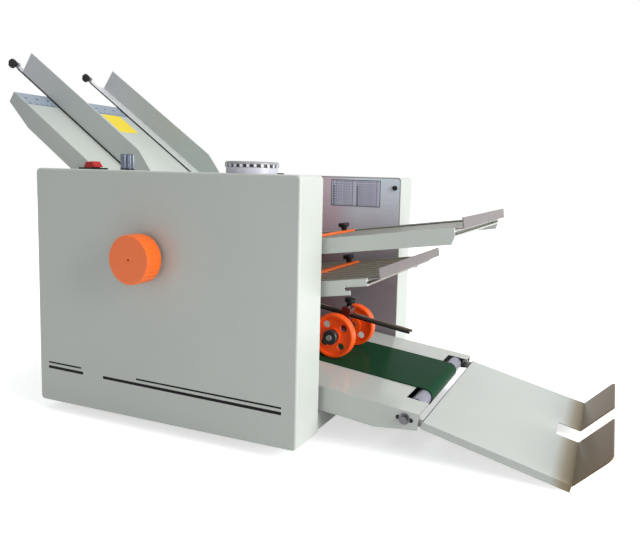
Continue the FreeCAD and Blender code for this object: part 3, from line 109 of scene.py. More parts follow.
world = bpy.data.worlds.new("studio")
bpy.context.scene.world = world
tree, nodes, links = node_tree(world)
room = nodes.new("ShaderNodeBackground")
room.inputs["Color"].default_value = ROOM_COLOUR
room.inputs["Strength"].default_value = ROOM_STRENGTH
white = nodes.new("ShaderNodeBackground")
white.inputs["Color"].default_value = (1, 1, 1, 1)
white.inputs["Strength"].default_value = 1
blend = nodes.new("ShaderNodeMixShader")
links.new(seen_as_background(nodes, links), blend.inputs[0])
links.new(room.outputs[0], blend.inputs[1])
links.new(white.outputs[0], blend.inputs[2])
sky = nodes.new("ShaderNodeOutputWorld")
links.new(blend.outputs[0], sky.inputs[0])

floor_mesh = bmesh.new()
bmesh.ops.create_grid(floor_mesh, x_segments=1, y_segments=1, size=FLOOR_HALF)
bmesh.ops.translate(floor_mesh, verts=floor_mesh.verts, vec=(0, 0, FLOOR_HEIGHT))
floor_data = bpy.data.meshes.new("floor")
floor_mesh.to_mesh(floor_data)
floor_mesh.free()
floor = bpy.data.objects.new("floor", floor_data)
bpy.context.collection.objects.link(floor)
floor_paint = bpy.data.materials.new("floor_white")
tree, nodes, links = node_tree(floor_paint)
matt = nodes.new("ShaderNodeBsdfDiffuse")
matt.inputs["Color"].default_value = (0.8, 0.8, 0.8, 1)
spot = nodes.new("ShaderNodeTexCoord")
away = nodes.new("ShaderNodeVectorMath")
away.operation = "LENGTH"
links.new(spot.outputs["Object"], away.inputs[0])
(near, near_glow), (far, far_glow) = GLOW
glow = nodes.new("ShaderNodeEmission")
links.new(mapped(tree, away.outputs["Value"], near, far, near_glow, far_glow), glow.inputs["Strength"])
both = nodes.new("ShaderNodeAddShader")
links.new(matt.outputs[0], both.inputs[0])
links.new(glow.outputs[0], both.inputs[1])
shade = nodes.new("ShaderNodeMixShader")
links.new(seen_as_background(nodes, links), shade.inputs[0])
links.new(matt.outputs[0], shade.inputs[1])
links.new(both.outputs[0], shade.inputs[2])
surface = nodes.new("ShaderNodeOutputMaterial")
links.new(shade.outputs[0], surface.inputs[0])
floor_data.materials.append(floor_paint)

LAMPS = (
    # name, place, aim, width, watts
    ("delivery_side", (2.0, -0.25, 0.85), (0.1, 0, 0.12), 1.6, 50),
    ("overhead", (-0.3, 0.2, 2.3), (0, 0, 0.1), 1.8, 18),
    ("front", (-0.9, -2.4, 1.1), (0, 0, 0.15), 1.8, 4),
)
for name, place, aim, width, watts in LAMPS:
    lamp = bpy.data.lights.new(name, "AREA")
    lamp.shape = "DISK"
    lamp.size = width
    lamp.energy = watts
    stand = bpy.data.objects.new(name, lamp)
    stand.location = place
    stand.rotation_euler = (Vector(aim) - Vector(place)).to_track_quat("-Z", "Y").to_euler()
    bpy.context.collection.objects.link(stand)


# Base plate and feet: a folded, painted steel pan on four moulded rubber feet. Each finish below
# is made the same way, from patches of tone, a fine grain and the relief that the grain leaves.

PALE_GREEN = (0.54, 0.575, 0.53)
SPECK = 0.12
COAT_ROUGHNESS = 0.08


def finish(name, colour, roughness, metal=0.0, patch=0.06, patch_size=9.0, grain=240.0, bump=0.04,
           stretch=(1, 1, 1), coat=0.0, shine=0.5):
    """A material with tone that wanders by the share patch, and a grain that stretch draws out."""
    material = bpy.data.materials.new(name)
    tree, nodes, links = node_tree(material)
    place = nodes.new("ShaderNodeTexCoord")
    stretched = nodes.new("ShaderNodeMapping")
    stretched.inputs["Scale"].default_value = stretch
    links.new(place.outputs["Object"], stretched.inputs["Vector"])
    cloud = nodes.new("ShaderNodeTexNoise")
    cloud.inputs["Scale"].default_value = patch_size
    cloud.inputs["Detail"].default_value = 4
    links.new(place.outputs["Object"], cloud.inputs["Vector"])
    fine = nodes.new("ShaderNodeTexNoise")
    fine.inputs["Scale"].default_value = grain
    fine.inputs["Detail"].default_value = 3
    links.new(stretched.outputs["Vector"], fine.inputs["Vector"])
    tone = nodes.new("ShaderNodeMixRGB")
    tone.name = "tone"
    tone.inputs["Color1"].default_value = (*[c * (1 - patch) for c in colour], 1)
    tone.inputs["Color2"].default_value = (*[min(1, c * (1 + patch)) for c in colour], 1)
    links.new(cloud.outputs["Fac"], tone.inputs["Fac"])
    speck = nodes.new("ShaderNodeMixRGB")
    speck.name = "speck"
    speck.blend_type = "MULTIPLY"
    speck.inputs["Fac"].default_value = SPECK
    links.new(tone.outputs[0], speck.inputs["Color1"])
    links.new(fine.outputs["Fac"], speck.inputs["Color2"])
    relief = nodes.new("ShaderNodeBump")
    relief.inputs["Strength"].default_value = bump
    relief.inputs["Distance"].default_value = 0.001
    links.new(fine.outputs["Fac"], relief.inputs["Height"])
    skin = nodes.new("ShaderNodeBsdfPrincipled")
    skin.name = "skin"
    skin.inputs["Metallic"].default_value = metal
    skin.inputs["Specular IOR Level"].default_value = shine
    skin.inputs["Coat Weight"].default_value = coat
    skin.inputs["Coat Roughness"].default_value = COAT_ROUGHNESS
    links.new(speck.outputs[0], skin.inputs["Base Color"])
    rough = mapped(tree, fine.outputs["Fac"], 0, 1, roughness * 0.8, min(1, roughness * 1.2))
    links.new(rough, skin.inputs["Roughness"])
    links.new(relief.outputs[0], skin.inputs["Normal"])
    surface = nodes.new("ShaderNodeOutputMaterial")
    links.new(skin.outputs[0], surface.inputs[0])
    return material


def object_axes(tree):
    """The piece's own coordinates, one output for each axis."""
    place = tree.nodes.new("ShaderNodeTexCoord")
    split = tree.nodes.new("ShaderNodeSeparateXYZ")
    tree.links.new(place.outputs["Object"], split.inputs[0])
    return split.outputs


def put_before_skin(tree, mix, slot):
    """Lets a colour node take over what fed the base colour, in one of its slots."""
    base = tree.nodes["skin"].inputs["Base Color"]
    tree.links.new(base.links[0].from_socket, mix.inputs[slot])
    tree.links.new(mix.outputs[0], base)


def graded(material, axis, stops, steps=False):
    """Tints a finish along one axis; each stop is a place in metres and a colour to multiply by."""
    tree = material.node_tree
    first, last = stops[0][0], stops[-1][0]
    ramp = tree.nodes.new("ShaderNodeValToRGB")
    tree.links.new(mapped(tree, object_axes(tree)[axis], first, last), ramp.inputs[0])
    if steps:
        ramp.color_ramp.interpolation = "CONSTANT"
    marks = ramp.color_ramp.elements
    for number, (metres, tint) in enumerate(stops):
        share = (metres - first) / (last - first)
        mark = marks[number] if number < 2 else marks.new(share)
        mark.position = share
        mark.color = (*tint, 1)
    tinted = tree.nodes.new("ShaderNodeMixRGB")
    tinted.blend_type = "MULTIPLY"
    tinted.inputs["Fac"].default_value = 1
    put_before_skin(tree, tinted, "Color1")
    tree.links.new(ramp.outputs[0], tinted.inputs["Color2"])


def wear(material, *names):
    for name in names:
        NODES[name].data.materials.clear()
        NODES[name].data.materials.append(material)


base_coat = finish("base_coat", PALE_GREEN, 0.5, patch=0.05, grain=400)
wear(base_coat, "base_plate")
foot_rubber = finish("foot_rubber", (0.02, 0.02, 0.02), 0.75, patch=0.2, grain=300, bump=0.1)
wear(foot_rubber, "feet")


# Side plates: two thick steel plates, brushed and blued, that carry every bearing. Tie rods hold
# them apart, and black screws hold the covers on them.

shaded_blued_plate = finish("shaded_blued_plate", (0.80, 0.88, 1.0), 0.34, metal=0.05, patch=0.08, grain=300, bump=0.05,
                     stretch=(0.05, 1, 1))
# Painted shade: the plates grow darker and browner lower down and towards smaller X.
graded(shaded_blued_plate, "Z", ((0.03, (0.36, 0.29, 0.28)), (0.14, (0.45, 0.36, 0.37)), (0.22, (0.72, 0.6, 0.6)),
                          (0.3, (1, 1, 1))))
graded(shaded_blued_plate, "X", ((0.05, (0.85, 0.6, 0.6)), (0.085, (0.9, 0.7, 0.72)), (0.125, (1, 1, 1))))
wear(shaded_blued_plate, "near_side_plate", "far_side_plate")
rod_steel = finish("rod_steel", (0.6, 0.6, 0.6), 0.22, metal=1, patch=0.05, grain=600, bump=0.03)
wear(rod_steel, "tie_bars")
screw_and_shade_black = finish("screw_and_shade_black", (0.012, 0.012, 0.014), 0.35, metal=0.4, patch=0.15, grain=500)
wear(screw_and_shade_black, "plate_screws")


# Setting table on the far plate: a thin printed foil with a frame and rows of plain dashes, in two
# halves, each with a bold first column.

FAR_PLATE_FACE = 0.148
FOIL_LEFT, FOIL_RIGHT, FOIL_LOW, FOIL_HIGH = 0.0765, 0.165, 0.2705, 0.3145
FOIL_THICK = 0.0003
FOIL_EDGE = 0.001
FOIL_INK = (0.00031, 0.00042)  # the print's two faces, in front of the plate
TABLE_ROWS = 10
TABLE_COLUMNS = 8
TABLE_MARGIN = 0.003
HALF_PITCH = 0.043
COLUMN_PITCH = 0.0049
FIGURE_SIZE = (0.0034, 0.0013)  # width, half height
DASH_WIDTHS = (0.0016, 0.0021, 0.0026)
DASH_HALF_HEIGHT = 0.0009


def block(shape, low, high):
    """A box between two corners, added to a mesh in the making."""
    low, high = Vector(low), Vector(high)
    made = bmesh.ops.create_cube(shape, size=1)["verts"]
    bmesh.ops.scale(shape, verts=made, vec=high - low)
    bmesh.ops.translate(shape, verts=made, vec=(low + high) / 2)


def add_piece(name, shape, material, body, place=None):
    """Turns a finished mesh into a piece that rides on a body."""
    if place:
        bmesh.ops.transform(shape, matrix=place, verts=shape.verts)
    data = bpy.data.meshes.new(name)
    shape.to_mesh(data)
    shape.free()
    data.materials.append(material)
    piece = bpy.data.objects.new(name, data)
    bpy.context.collection.objects.link(piece)
    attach(piece, body)
    return piece


def add_slab(name, low, high, material, body, place=None):
    """A piece that is one plain box, such as a film, a sticker or an edging."""
    shape = bmesh.new()
    block(shape, low, high)
    add_piece(name, shape, material, body, place)


foil_white = finish("foil_white", (0.62, 0.63, 0.76), 0.4, metal=0.1, patch=0.04, grain=500)
foil_ink = finish("foil_ink", (0.015, 0.015, 0.025), 0.5, patch=0.1, grain=500, shine=0.1)
foil_faint = finish("foil_faint", (0.045, 0.045, 0.09), 0.5, patch=0.1, grain=500, shine=0.1)
add_slab("setting_foil", (FOIL_LEFT, FAR_PLATE_FACE - FOIL_THICK, FOIL_LOW),
         (FOIL_RIGHT, FAR_PLATE_FACE, FOIL_HIGH), foil_white, "frame")
bold, faint = bmesh.new(), bmesh.new()
ink_high, ink_low = (FAR_PLATE_FACE - lift for lift in FOIL_INK)
inner_low, inner_high = FOIL_LOW + FOIL_EDGE, FOIL_HIGH - FOIL_EDGE
for left, right, low, high in (
        (FOIL_LEFT, FOIL_RIGHT, FOIL_LOW, inner_low), (FOIL_LEFT, FOIL_RIGHT, inner_high, FOIL_HIGH),
        (FOIL_LEFT, FOIL_LEFT + FOIL_EDGE, inner_low, inner_high),
        (FOIL_RIGHT - FOIL_EDGE, FOIL_RIGHT, inner_low, inner_high)):
    block(bold, (left, ink_low, low), (right, ink_high, high))
row_pitch = (FOIL_HIGH - FOIL_LOW - 2 * TABLE_MARGIN) / (TABLE_ROWS - 1)
for row in range(TABLE_ROWS):
    up = FOIL_LOW + TABLE_MARGIN + row * row_pitch
    for half in range(2):
        start = FOIL_LEFT + TABLE_MARGIN + half * HALF_PITCH
        for column in range(TABLE_COLUMNS):
            left = start + column * COLUMN_PITCH
            figure = column == 0 and row < TABLE_ROWS - 2
            dash = DASH_WIDTHS[(row * 3 + column * 5) % 3], DASH_HALF_HEIGHT
            wide, tall = FIGURE_SIZE if figure else dash
            block(bold if figure else faint, (left, ink_low, up - tall), (left + wide, ink_high, up + tall))
add_piece("setting_figures", bold, foil_ink, "frame")
add_piece("setting_rows", faint, foil_faint, "frame")


# Covers: two boxes folded from sheet and powder coated in a pale grey-green, with a faint orange
# peel. The near one carries thin printed rules along its foot.

COVER_FACE = -0.206
COVER_TOP = 0.32
INK_LIFT = 0.00012
RULE_FALL = 0.0137
RULES = (
    # left, right, height at the middle of the cover, thickness
    (-0.1834, -0.1255, 0.0522, 0.0022), (-0.0324, 0.1799, 0.0522, 0.0022),
    (-0.1836, -0.1221, 0.0456, 0.0038), (-0.0874, 0.1800, 0.0456, 0.0038),
)
cover_coat = finish("cover_coat", PALE_GREEN, 0.36, patch=0.03, grain=700, bump=0.05)
wear(cover_coat, "near_cover", "far_cover")
rule_ink = finish("rule_ink", (0.008, 0.008, 0.009), 0.5, patch=0.15, grain=500, shine=0.1)
shape = bmesh.new()
for left, right, height, thick in RULES:
    block(shape, (left, COVER_FACE - INK_LIFT, height - thick / 2),
          (right, COVER_FACE + INK_LIFT, height + thick / 2))
for point in shape.verts:
    point.co.z -= RULE_FALL * point.co.x
add_piece("printed_rules", shape, rule_ink, "frame")


# Controls on the near cover: a fold dial with white posts, gaps darkened as painted shade and a grey rim,
# a rocker switch in a bezel, a ribbed speed knob and an orange hand wheel. The mains inlet is at the back.

DIAL_CENTRE = (0.116, -0.171)
DIAL_TOP_CENTRE = 0.33395
DIAL_TOP_RADIUS = 0.0308
DIAL_TOP_THICK = 0.0003
DIAL_RIM_HEIGHT = 0.3308
POST_BACKS = (0.0293, 0.0297)  # distances from the dial's axis where painted shade darkens the gaps
RIM_TINT = (0.42, 0.42, 0.42)
SPEED_KNOB_FOOT = (-0.0695, -0.177, COVER_TOP)
KNOB_RIBS = 14
RIB_RADIUS, GROOVE_RADIUS = 0.0086, 0.0076
KNOB_RINGS = ((0.0022, 1), (0.0198, 1), (0.021, 0.9))  # height, share of the radius


def disc(shape, radius, low, high, segments, top_radius=None):
    """An upright disc, or a taper, between two heights, added to a mesh in the making."""
    made = bmesh.ops.create_cone(shape, cap_ends=True, segments=segments, radius1=radius,
                                 radius2=top_radius or radius, depth=high - low)["verts"]
    bmesh.ops.translate(shape, verts=made, vec=(0, 0, (low + high) / 2))
    return made


dial_grey = finish("dial_grey", (0.30, 0.30, 0.32), 0.35, patch=0.06, grain=400)
dial_white = finish("dial_white", (0.56, 0.56, 0.62), 0.3, patch=0.04, grain=400)
wear(dial_white, "dial_base")
dial_ring = finish("dial_ring", (0.72, 0.72, 0.76), 0.3, patch=0.04, grain=400)
graded(dial_ring, "Z", ((COVER_TOP, (1, 1, 1)), (DIAL_RIM_HEIGHT, RIM_TINT), (0.334, RIM_TINT)), steps=True)
tree = dial_ring.node_tree
place = tree.nodes.new("ShaderNodeTexCoord")
flat = tree.nodes.new("ShaderNodeMapping")
flat.inputs["Scale"].default_value = (1, 1, 0)
tree.links.new(place.outputs["Object"], flat.inputs["Vector"])
reach = tree.nodes.new("ShaderNodeVectorMath")
reach.operation = "DISTANCE"
reach.inputs[1].default_value = (*DIAL_CENTRE, 0)
tree.links.new(flat.outputs[0], reach.inputs[0])
# Painted shade: inside the posts' backs the slots are coloured near black.
gap_shade = tree.nodes.new("ShaderNodeMixRGB")
gap_shade.inputs["Color1"].default_value = (0.01, 0.01, 0.012, 1)
tree.links.new(mapped(tree, reach.outputs["Value"], *POST_BACKS), gap_shade.inputs["Fac"])
put_before_skin(tree, gap_shade, "Color2")
wear(dial_ring, "dial")
shape = bmesh.new()
disc(shape, DIAL_TOP_RADIUS, -DIAL_TOP_THICK / 2, DIAL_TOP_THICK / 2, 64)
add_piece("dial_top", shape, dial_grey, "fold_dial", Matrix.Translation((*DIAL_CENTRE, DIAL_TOP_CENTRE)))
black_plastic = finish("black_plastic", (0.012, 0.012, 0.014), 0.4, patch=0.2, grain=600, bump=0.05,
                       shine=0.2)
wear(black_plastic, "switch_bezel", "power_inlet")
add_slab("dial_pointer", (0.1515, -0.173, COVER_TOP), (0.1585, -0.169, 0.3214), black_plastic, "frame")
red_plastic = finish("red_plastic", (0.5, 0.012, 0.012), 0.25, patch=0.05, grain=300, bump=0.01,
                     shine=0.25)
wear(red_plastic, "switch_rocker")
knob_steel = finish("knob_steel", (0.13, 0.15, 0.19), 0.25, metal=0.8, patch=0.08, grain=300)
shape = bmesh.new()
outline = []
for step in range(KNOB_RIBS * 4):
    radius = RIB_RADIUS if step % 4 in (0, 1) else GROOVE_RADIUS
    turn = math.tau * step / (KNOB_RIBS * 4)
    outline.append((radius * math.cos(turn), radius * math.sin(turn)))
rings = []
for height, share in KNOB_RINGS:
    rings.append([shape.verts.new((x * share, y * share, height)) for x, y in outline])
for lower, upper in zip(rings, rings[1:]):
    for step in range(len(outline)):
        after = (step + 1) % len(outline)
        shape.faces.new((lower[step], lower[after], upper[after], upper[step]))
shape.faces.new(rings[0][::-1])
shape.faces.new(rings[-1])
place = Matrix.Translation(SPEED_KNOB_FOOT)
knob = add_piece("ribbed_speed_knob", shape, knob_steel, "speed_control", place)
shape = bmesh.new()
disc(shape, 0.0088, 0.0003, 0.0022, 40, top_radius=0.0086)
add_piece("speed_knob_skirt", shape, black_plastic, "speed_control", place)
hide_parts("speed_knob")
orange_plastic = finish("orange_plastic", (1.0, 0.165, 0.01), 0.33, patch=0.04, grain=500, bump=0.02,
                        coat=0.2)
wear(orange_plastic, "hand_wheel")


# Roller column and drive: ground steel rollers in one column, geared together, with a motor, belts
# and pulleys behind the far plate.

ground_steel = finish("ground_steel", (0.32, 0.32, 0.32), 0.32, metal=1, patch=0.08, grain=500, bump=0.05,
                      stretch=(1, 0.05, 1))
wear(ground_steel, *["fold_roller_%d" % n for n in range(1, 7)])
wear(rod_steel, "drive_shaft", "feed_shaft", "drive_pulley", "motor_pulley")
wear(foot_rubber, "drive_belts", "separator_pad", "feed_wheels")
motor_coat = finish("motor_coat", (0.05, 0.055, 0.06), 0.45, patch=0.1, grain=300, bump=0.1)
wear(motor_coat, "motor")


# Feed tray: one wide folded sheet. A pale blue scale band is glued across its upper end, and a
# plain yellow sticker lies below it.

FILM = 0.0002
FILM_INK = 0.00028
BAND_HALF = 0.138


def sloping(origin, degrees):
    """The frame of a sheet that starts at an origin and falls towards the delivery side."""
    return Matrix.Translation(origin) @ Matrix.Rotation(math.radians(degrees), 4, "Y")


on_tray = sloping((-0.3163, 0, 0.4319), 35.2)
tray_coat = finish("tray_coat", (0.55, 0.585, 0.54), 0.25, patch=0.03, grain=700, bump=0.03)
# Painted shade: the tray is coloured a little darker and bluer towards its upper end.
graded(tray_coat, "X", ((-0.32, (0.8, 0.82, 0.84)), (-0.2, (0.97, 0.98, 0.98)), (-0.1, (1, 1, 1))))
wear(tray_coat, "feed_tray")
band_blue = finish("band_blue", (0.27, 0.32, 0.38), 0.4, patch=0.05, grain=400)
band_ink = finish("band_ink", (0.05, 0.07, 0.11), 0.5, patch=0.1, grain=500)
add_slab("scale_band", (0.001, -BAND_HALF, 0), (0.031, BAND_HALF, FILM), band_blue, "frame", on_tray)
shape = bmesh.new()
for mark in range(-13, 14):
    across = mark * 0.01
    block(shape, (0.023, across - 0.0006, FILM), (0.029, across + 0.0006, FILM_INK))
    if mark % 2:
        block(shape, (0.013, across - 0.0018, FILM), (0.0165, across + 0.0018, FILM_INK))
block(shape, (0.0295, -0.137, FILM), (0.0305, 0.137, FILM_INK))
add_piece("scale_marks", shape, band_ink, "frame", on_tray)
sticker_yellow = finish("sticker_yellow", (0.80, 0.62, 0.008), 0.4, patch=0.04, grain=400)
add_slab("blank_sticker", (0.032, 0.006, 0), (0.084, 0.049, FILM), sticker_yellow, "frame", on_tray)


# Side guides: folded uprights that slide across the tray, each with a black edging along its foot
# and a clamp knob with a bright nut on its tail.

GUIDE_FACES = (("near", -0.0798), ("far", 0.0723))
EDGING_THICK = 0.0009
GUIDE_KNOB_ALONG = -0.0845
GUIDE_KNOB_UP = 0.0053
LOBES = 6
SCALLOP = 0.11


def spun(outline, steps):
    """A closed turned mesh round the Z axis, from a profile of radius and height."""
    shape = bmesh.new()
    points = [shape.verts.new((radius, 0, height)) for radius, height in outline]
    edges = [shape.edges.new(pair) for pair in zip(points, points[1:])]
    bmesh.ops.spin(shape, geom=points + edges, cent=(0, 0, 0), axis=(0, 0, 1), angle=math.tau,
                   steps=steps, use_merge=True)
    bmesh.ops.remove_doubles(shape, verts=shape.verts, dist=1e-6)
    bmesh.ops.recalc_face_normals(shape, faces=shape.faces)
    return shape


def thumb_knob(name, body, place, radius, foot, height):
    """A lobed clamp knob: a narrow neck under a wider head with finger scallops."""
    shape = spun(((0, foot), (radius * 0.5, foot), (radius * 0.5, foot + height * 0.35),
                  (radius, foot + height * 0.5), (radius, foot + height * 0.92),
                  (radius * 0.88, foot + height), (0, foot + height)), LOBES * 8)
    for point in shape.verts:
        if math.hypot(point.co.x, point.co.y) > radius * 0.8:
            turn = math.atan2(point.co.y, point.co.x)
            pull = 1 - SCALLOP * (0.5 - 0.5 * math.cos(LOBES * turn)) ** 2
            point.co.x *= pull
            point.co.y *= pull
    piece = add_piece(name, shape, black_plastic, body, place)
    for face in piece.data.polygons:
        face.use_smooth = len(face.vertices) == 4
    bevel = piece.modifiers.new("edge", "BEVEL")
    bevel.width = radius * 0.06
    bevel.segments = 2
    bevel.limit_method = "ANGLE"
    return piece


def screw_stem(name, body, place, radius, low, high, nut=None):
    """A bright threaded stem; a nut, given as its corner radius and thickness, sits at its lower end."""
    shape = bmesh.new()
    disc(shape, radius, low, high, 20)
    if nut:
        disc(shape, nut[0], low, low + nut[1], 6)
    add_piece(name, shape, bright_zinc, body, place)


guide_coat = finish("guide_coat", (0.58, 0.60, 0.62), 0.28, patch=0.03, grain=700, bump=0.03)
# Painted light: the guides are lightest at their upper ends and darker and greener lower down, a painted
# reflection of the tray.
graded(guide_coat, "X", ((-0.39, (1, 0.97, 1)), (-0.3, (0.94, 0.96, 0.9)), (-0.1, (0.9, 0.96, 0.86))))
wear(guide_coat, "near_guide", "far_guide")
black_edging_and_shade = finish("black_edging_and_shade", (0.01, 0.01, 0.01), 0.5, patch=0.2, grain=300)
for side, face in GUIDE_FACES:
    add_slab(side + "_guide_edging", (-0.0765, face - EDGING_THICK, 0.0003), (0.2915, face, 0.0024),
             black_edging_and_shade, side + "_guide_slide", on_tray)
bright_zinc = finish("bright_zinc", (0.55, 0.55, 0.53), 0.25, metal=1, patch=0.1, grain=350, bump=0.05)
for side, face in GUIDE_FACES:
    place = (on_tray @ Matrix.Translation((GUIDE_KNOB_ALONG, face, GUIDE_KNOB_UP))
             @ Matrix.Rotation(math.radians(90), 4, "X"))
    knob = thumb_knob(side + "_guide_thumb_knob", side + "_guide_clamp", place, 0.0075, 0.0003, 0.009)
    screw_stem(side + "_guide_stem", side + "_guide_clamp", place, 0.002, -0.0065, 0.0005, (0.0032, 0.0045))
    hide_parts(side + "_guide_knob")


# Fold plates: comb ribs of painted sheet in folded flanges, closed at their outer ends by bare
# channels. An orange cross bar in each sets the fold length, and a thumb knob clamps it.

FLANGE_INSIDE = 0.1329
PLATE_X = 0.2
STOPS = (
    # plate, height of its sheet at PLATE_X, rise in degrees, the bar's drop, the bar's place along X
    ("upper", 0.2439, 7.8, 0.003, 0.127),
    ("lower", 0.1911, 8.5, 0.0015, 0.137),
)
STOP_KNOB_SET_BACK = 0.0035
STOP_KNOB_ACROSS = 0.098
STOP_BAR_TOP = 0.0036


def comb_finish(name, rib_tint):
    """The pale coat, toned down between the flanges, where the ribs stand in each other's shade."""
    coat = finish(name, PALE_GREEN, 0.3, patch=0.05, grain=500)
    graded(coat, "Y", ((-0.141, (1, 1, 1)), (-FLANGE_INSIDE, rib_tint), (FLANGE_INSIDE, (1, 1, 1)),
                       (0.141, (1, 1, 1))), steps=True)
    return coat


wear(comb_finish("comb_coat", (0.62, 0.54, 0.48)), "lower_fold_plate", "left_upper_fold_plate",
     "left_lower_fold_plate")
wear(comb_finish("upper_comb_coat", (0.85, 0.82, 0.8)), "upper_fold_plate")
bare_channel = finish("bare_channel", (0.215, 0.18, 0.18), 0.35, metal=0.6, patch=0.15, patch_size=30,
                      grain=200, stretch=(1, 0.05, 1))
wear(bare_channel, "upper_plate_end", "lower_plate_end")
wear(orange_plastic, "upper_stop_bar", "lower_stop_bar", "left_upper_stop_bar", "left_lower_stop_bar")
for level, height, rise, drop, x in STOPS:
    along = (x - PLATE_X) / math.cos(math.radians(rise)) - STOP_KNOB_SET_BACK
    place = sloping((PLATE_X, 0, height), -rise) @ Matrix.Translation(
        (along, STOP_KNOB_ACROSS, STOP_BAR_TOP - drop))
    knob = thumb_knob(level + "_stop_thumb_knob", level + "_stop_clamp", place, 0.009, 0, 0.012)
    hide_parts(level + "_stop_knob")


# Conveyor: a folded sheet trough with a smooth green belt round two steel rollers. The end roller's
# axle is held by a bolt and washer in each tension slot, with a near-black block behind it as painted
# shade in the slot. Inside, the sheet is coloured dark as painted shade.

CONVEYOR_FALL = 6.8
CONVEYOR_PLACE = Vector((0.2, 0, 0.0598))
FLANGE_SKIN = 0.1395
SHADE_DEPTHS = (0.0003, 0.0009)  # below the sheet's top, where the coat gives way to painted shade
BLOCK_FACES = (0.1352, 0.1382)
conveyor_coat = finish("conveyor_coat", (0.53, 0.56, 0.52), 0.16, patch=0.03, grain=700, bump=0.02,
                       shine=0.4)
tree = conveyor_coat.node_tree
fall = math.radians(CONVEYOR_FALL)
sheet_normal = Vector((math.sin(fall), 0, math.cos(fall)))
sheet_top = CONVEYOR_PLACE.dot(sheet_normal)
place = tree.nodes.new("ShaderNodeTexCoord")
lift = tree.nodes.new("ShaderNodeVectorMath")
lift.operation = "DOT_PRODUCT"
lift.inputs[1].default_value = sheet_normal
tree.links.new(place.outputs["Object"], lift.inputs[0])
under = mapped(tree, lift.outputs["Value"], *(sheet_top - depth for depth in SHADE_DEPTHS))
across = tree.nodes.new("ShaderNodeMath")
across.operation = "ABSOLUTE"
tree.links.new(object_axes(tree)["Y"], across.inputs[0])
inside = tree.nodes.new("ShaderNodeMath")
inside.operation = "LESS_THAN"
inside.inputs[1].default_value = FLANGE_SKIN
tree.links.new(across.outputs[0], inside.inputs[0])
hidden = tree.nodes.new("ShaderNodeMath")
hidden.operation = "MULTIPLY"
tree.links.new(under, hidden.inputs[0])
tree.links.new(inside.outputs[0], hidden.inputs[1])
# Painted shade: the sheet's inside faces are coloured near black.
painted_shade = tree.nodes.new("ShaderNodeMixRGB")
painted_shade.inputs["Color2"].default_value = (0.05, 0.04, 0.035, 1)
tree.links.new(hidden.outputs[0], painted_shade.inputs["Fac"])
put_before_skin(tree, painted_shade, "Color1")
wear(conveyor_coat, "conveyor_cover")
belt_green = finish("belt_green", (0.010, 0.052, 0.023), 0.2, patch=0.1, grain=400, bump=0.01, shine=0.009)
wear(belt_green, "conveyor_belt")
roller_white = finish("roller_white", (0.25, 0.25, 0.31), 0.3, metal=0.3, patch=0.05, grain=400)
wear(roller_white, "conveyor_end_roller")
wear(ground_steel, "conveyor_inner_roller")
dull_zinc = finish("dull_zinc", (0.14, 0.14, 0.155), 0.3, metal=0.9, patch=0.15, grain=350, bump=0.05)
wear(dull_zinc, "tension_axle")
# Painted shade: near-black blocks where a tension block would sit, standing in for the dark seen through the
# slots.
shape = bmesh.new()
for side in (-1, 1):
    low, high = sorted(side * face for face in BLOCK_FACES)
    block(shape, (0.097, low, -0.0155), (0.125, high, -0.0045))
add_piece("tension_shade_blocks", shape, screw_and_shade_black, "frame", sloping(CONVEYOR_PLACE, CONVEYOR_FALL))


# Press wheels: two orange moulded wheels on a cross axle, under a maroon block that slides on twin
# black rods and is clamped by a thumb knob.

BLOCK_ALONG = 0.099
BLOCK_TOP = 0.0103
AXLE_DROP = -0.024533
AXLE_END = 0.0546
COLLAR_OUTLINE = (
    # radius, distance along the axle
    (0, -AXLE_END), (0.0092, -AXLE_END), (0.0105, -0.0533), (0.0105, -0.0456), (0.004, -0.0456),
    (0.004, 0.0456), (0.0105, 0.0456), (0.0105, 0.0533), (0.0092, AXLE_END), (0, AXLE_END),
)
STUB_RADIUS = 0.0038
SLOT_FLOOR = 0.0568
STUB_END = 0.0576
HALF_SLOT = 0.0008

rod_dark = finish("rod_dark", (0.20, 0.16, 0.13), 0.35, metal=0.5, patch=0.15, grain=400)
# Painted shade: the rods are coloured near black below Y = 4 mm and keep their lighter brown-grey beyond.
graded(rod_dark, "Y", ((-0.01, (0.08, 0.09, 0.11)), (0.004, (1, 1, 1)), (0.02, (1, 1, 1))), steps=True)
wear(rod_dark, "press_rods")
maroon_paint = finish("maroon_paint", (0.13, 0.017, 0.014), 0.35, patch=0.2, grain=350, bump=0.08)
wear(maroon_paint, "press_clamp")
glowing_wheel_orange = finish("glowing_wheel_orange", (1.0, 0.11, 0.01), 0.4, patch=0.04, grain=500, bump=0.02, shine=0.35)
# Painted light: a faint orange glow brightens the wheels, which sit in shade.
wheel_skin = glowing_wheel_orange.node_tree.nodes["skin"]
wheel_skin.inputs["Emission Color"].default_value = (1, 0.07, 0.003, 1)
wheel_skin.inputs["Emission Strength"].default_value = 0.12
wear(glowing_wheel_orange, "near_press_wheel", "far_press_wheel")
arm = sloping((0.075, 0.004, 0.1369), 9.2)
place = arm @ Matrix.Translation((BLOCK_ALONG, 0, BLOCK_TOP))
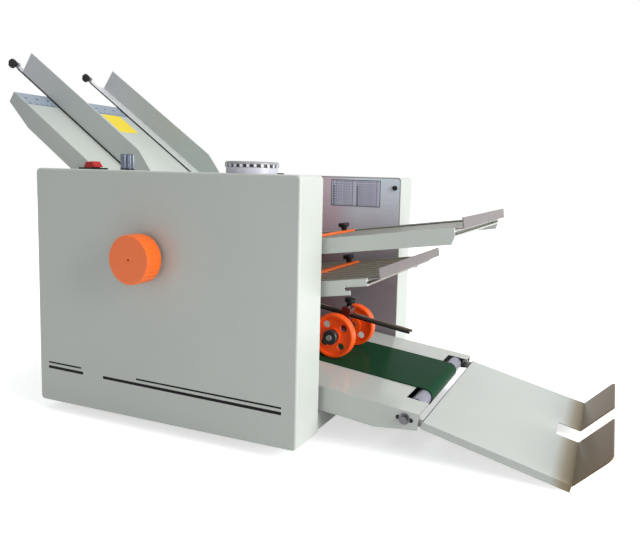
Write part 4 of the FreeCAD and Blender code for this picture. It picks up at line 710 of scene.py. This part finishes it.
knob = thumb_knob("press_thumb_knob", "press_clamp_knob", place, 0.0083, 0.0018, 0.0112)
screw_stem("press_stem", "press_clamp_knob", place, 0.0024, -0.0072, 0.004)
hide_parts("press_knob")
pale_steel = finish("pale_steel", (0.5, 0.48, 0.46), 0.3, metal=0.6, patch=0.1, grain=350, bump=0.05)
hub_dark = finish("hub_dark", (0.055, 0.052, 0.054), 0.3, metal=0.5, patch=0.2, grain=350)
axle = arm @ Matrix.Translation((BLOCK_ALONG, 0, AXLE_DROP)) @ Matrix.Rotation(math.radians(-90), 4, "X")
collars = add_piece("axle_collars", spun(COLLAR_OUTLINE, 40), hub_dark, "press_carriage", axle)
shape = bmesh.new()
for end in (-1, 1):
    for low, high, side in ((AXLE_END, SLOT_FLOOR, 0), (SLOT_FLOOR, STUB_END, -1), (SLOT_FLOOR, STUB_END, 1)):
        stub = disc(shape, STUB_RADIUS, *sorted((end * low, end * high)), 28)
        if side:
            for point in stub:
                point.co.x = side * max(side * point.co.x, HALF_SLOT)
bmesh.ops.recalc_face_normals(shape, faces=shape.faces)
add_piece("axle_ends", shape, pale_steel, "press_carriage", axle)
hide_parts("press_axle")


# Receiving tray: a sheet hooked on two pins, with a raised lip split by a finger notch. Towards the
# lip the coat is darkened and browned as painted shade, and has less shine.

lip_shaded_coat = finish("lip_shaded_coat", (0.50, 0.53, 0.495), 0.22, patch=0.03, grain=700, bump=0.02)
# Painted shade: darker and browner towards and over the lip.
graded(lip_shaded_coat, "X", ((0.476, (1, 1, 1)), (0.489, (0.6, 0.47, 0.32)), (0.499, (0.45, 0.33, 0.19)),
                           (0.502, (0.36, 0.28, 0.19)), (0.512, (0.34, 0.22, 0.12)),
                           (0.54, (0.32, 0.19, 0.095))))
tree = lip_shaded_coat.node_tree
tree.links.new(mapped(tree, object_axes(tree)["X"], 0.48, 0.5, 0.5, 0.04),
               tree.nodes["skin"].inputs["Specular IOR Level"])
wear(lip_shaded_coat, "receiving_tray")
# Painted shadow: a thin black strip stands in for the shadow line along the tray's inner edge.
add_slab("receiver_edge_shadow", (0, -0.1385, 0), (0.0009, 0.1385, FILM), black_edging_and_shade, "delivery_tray",
         sloping((0.331, 0, 0.0366), 13.55))
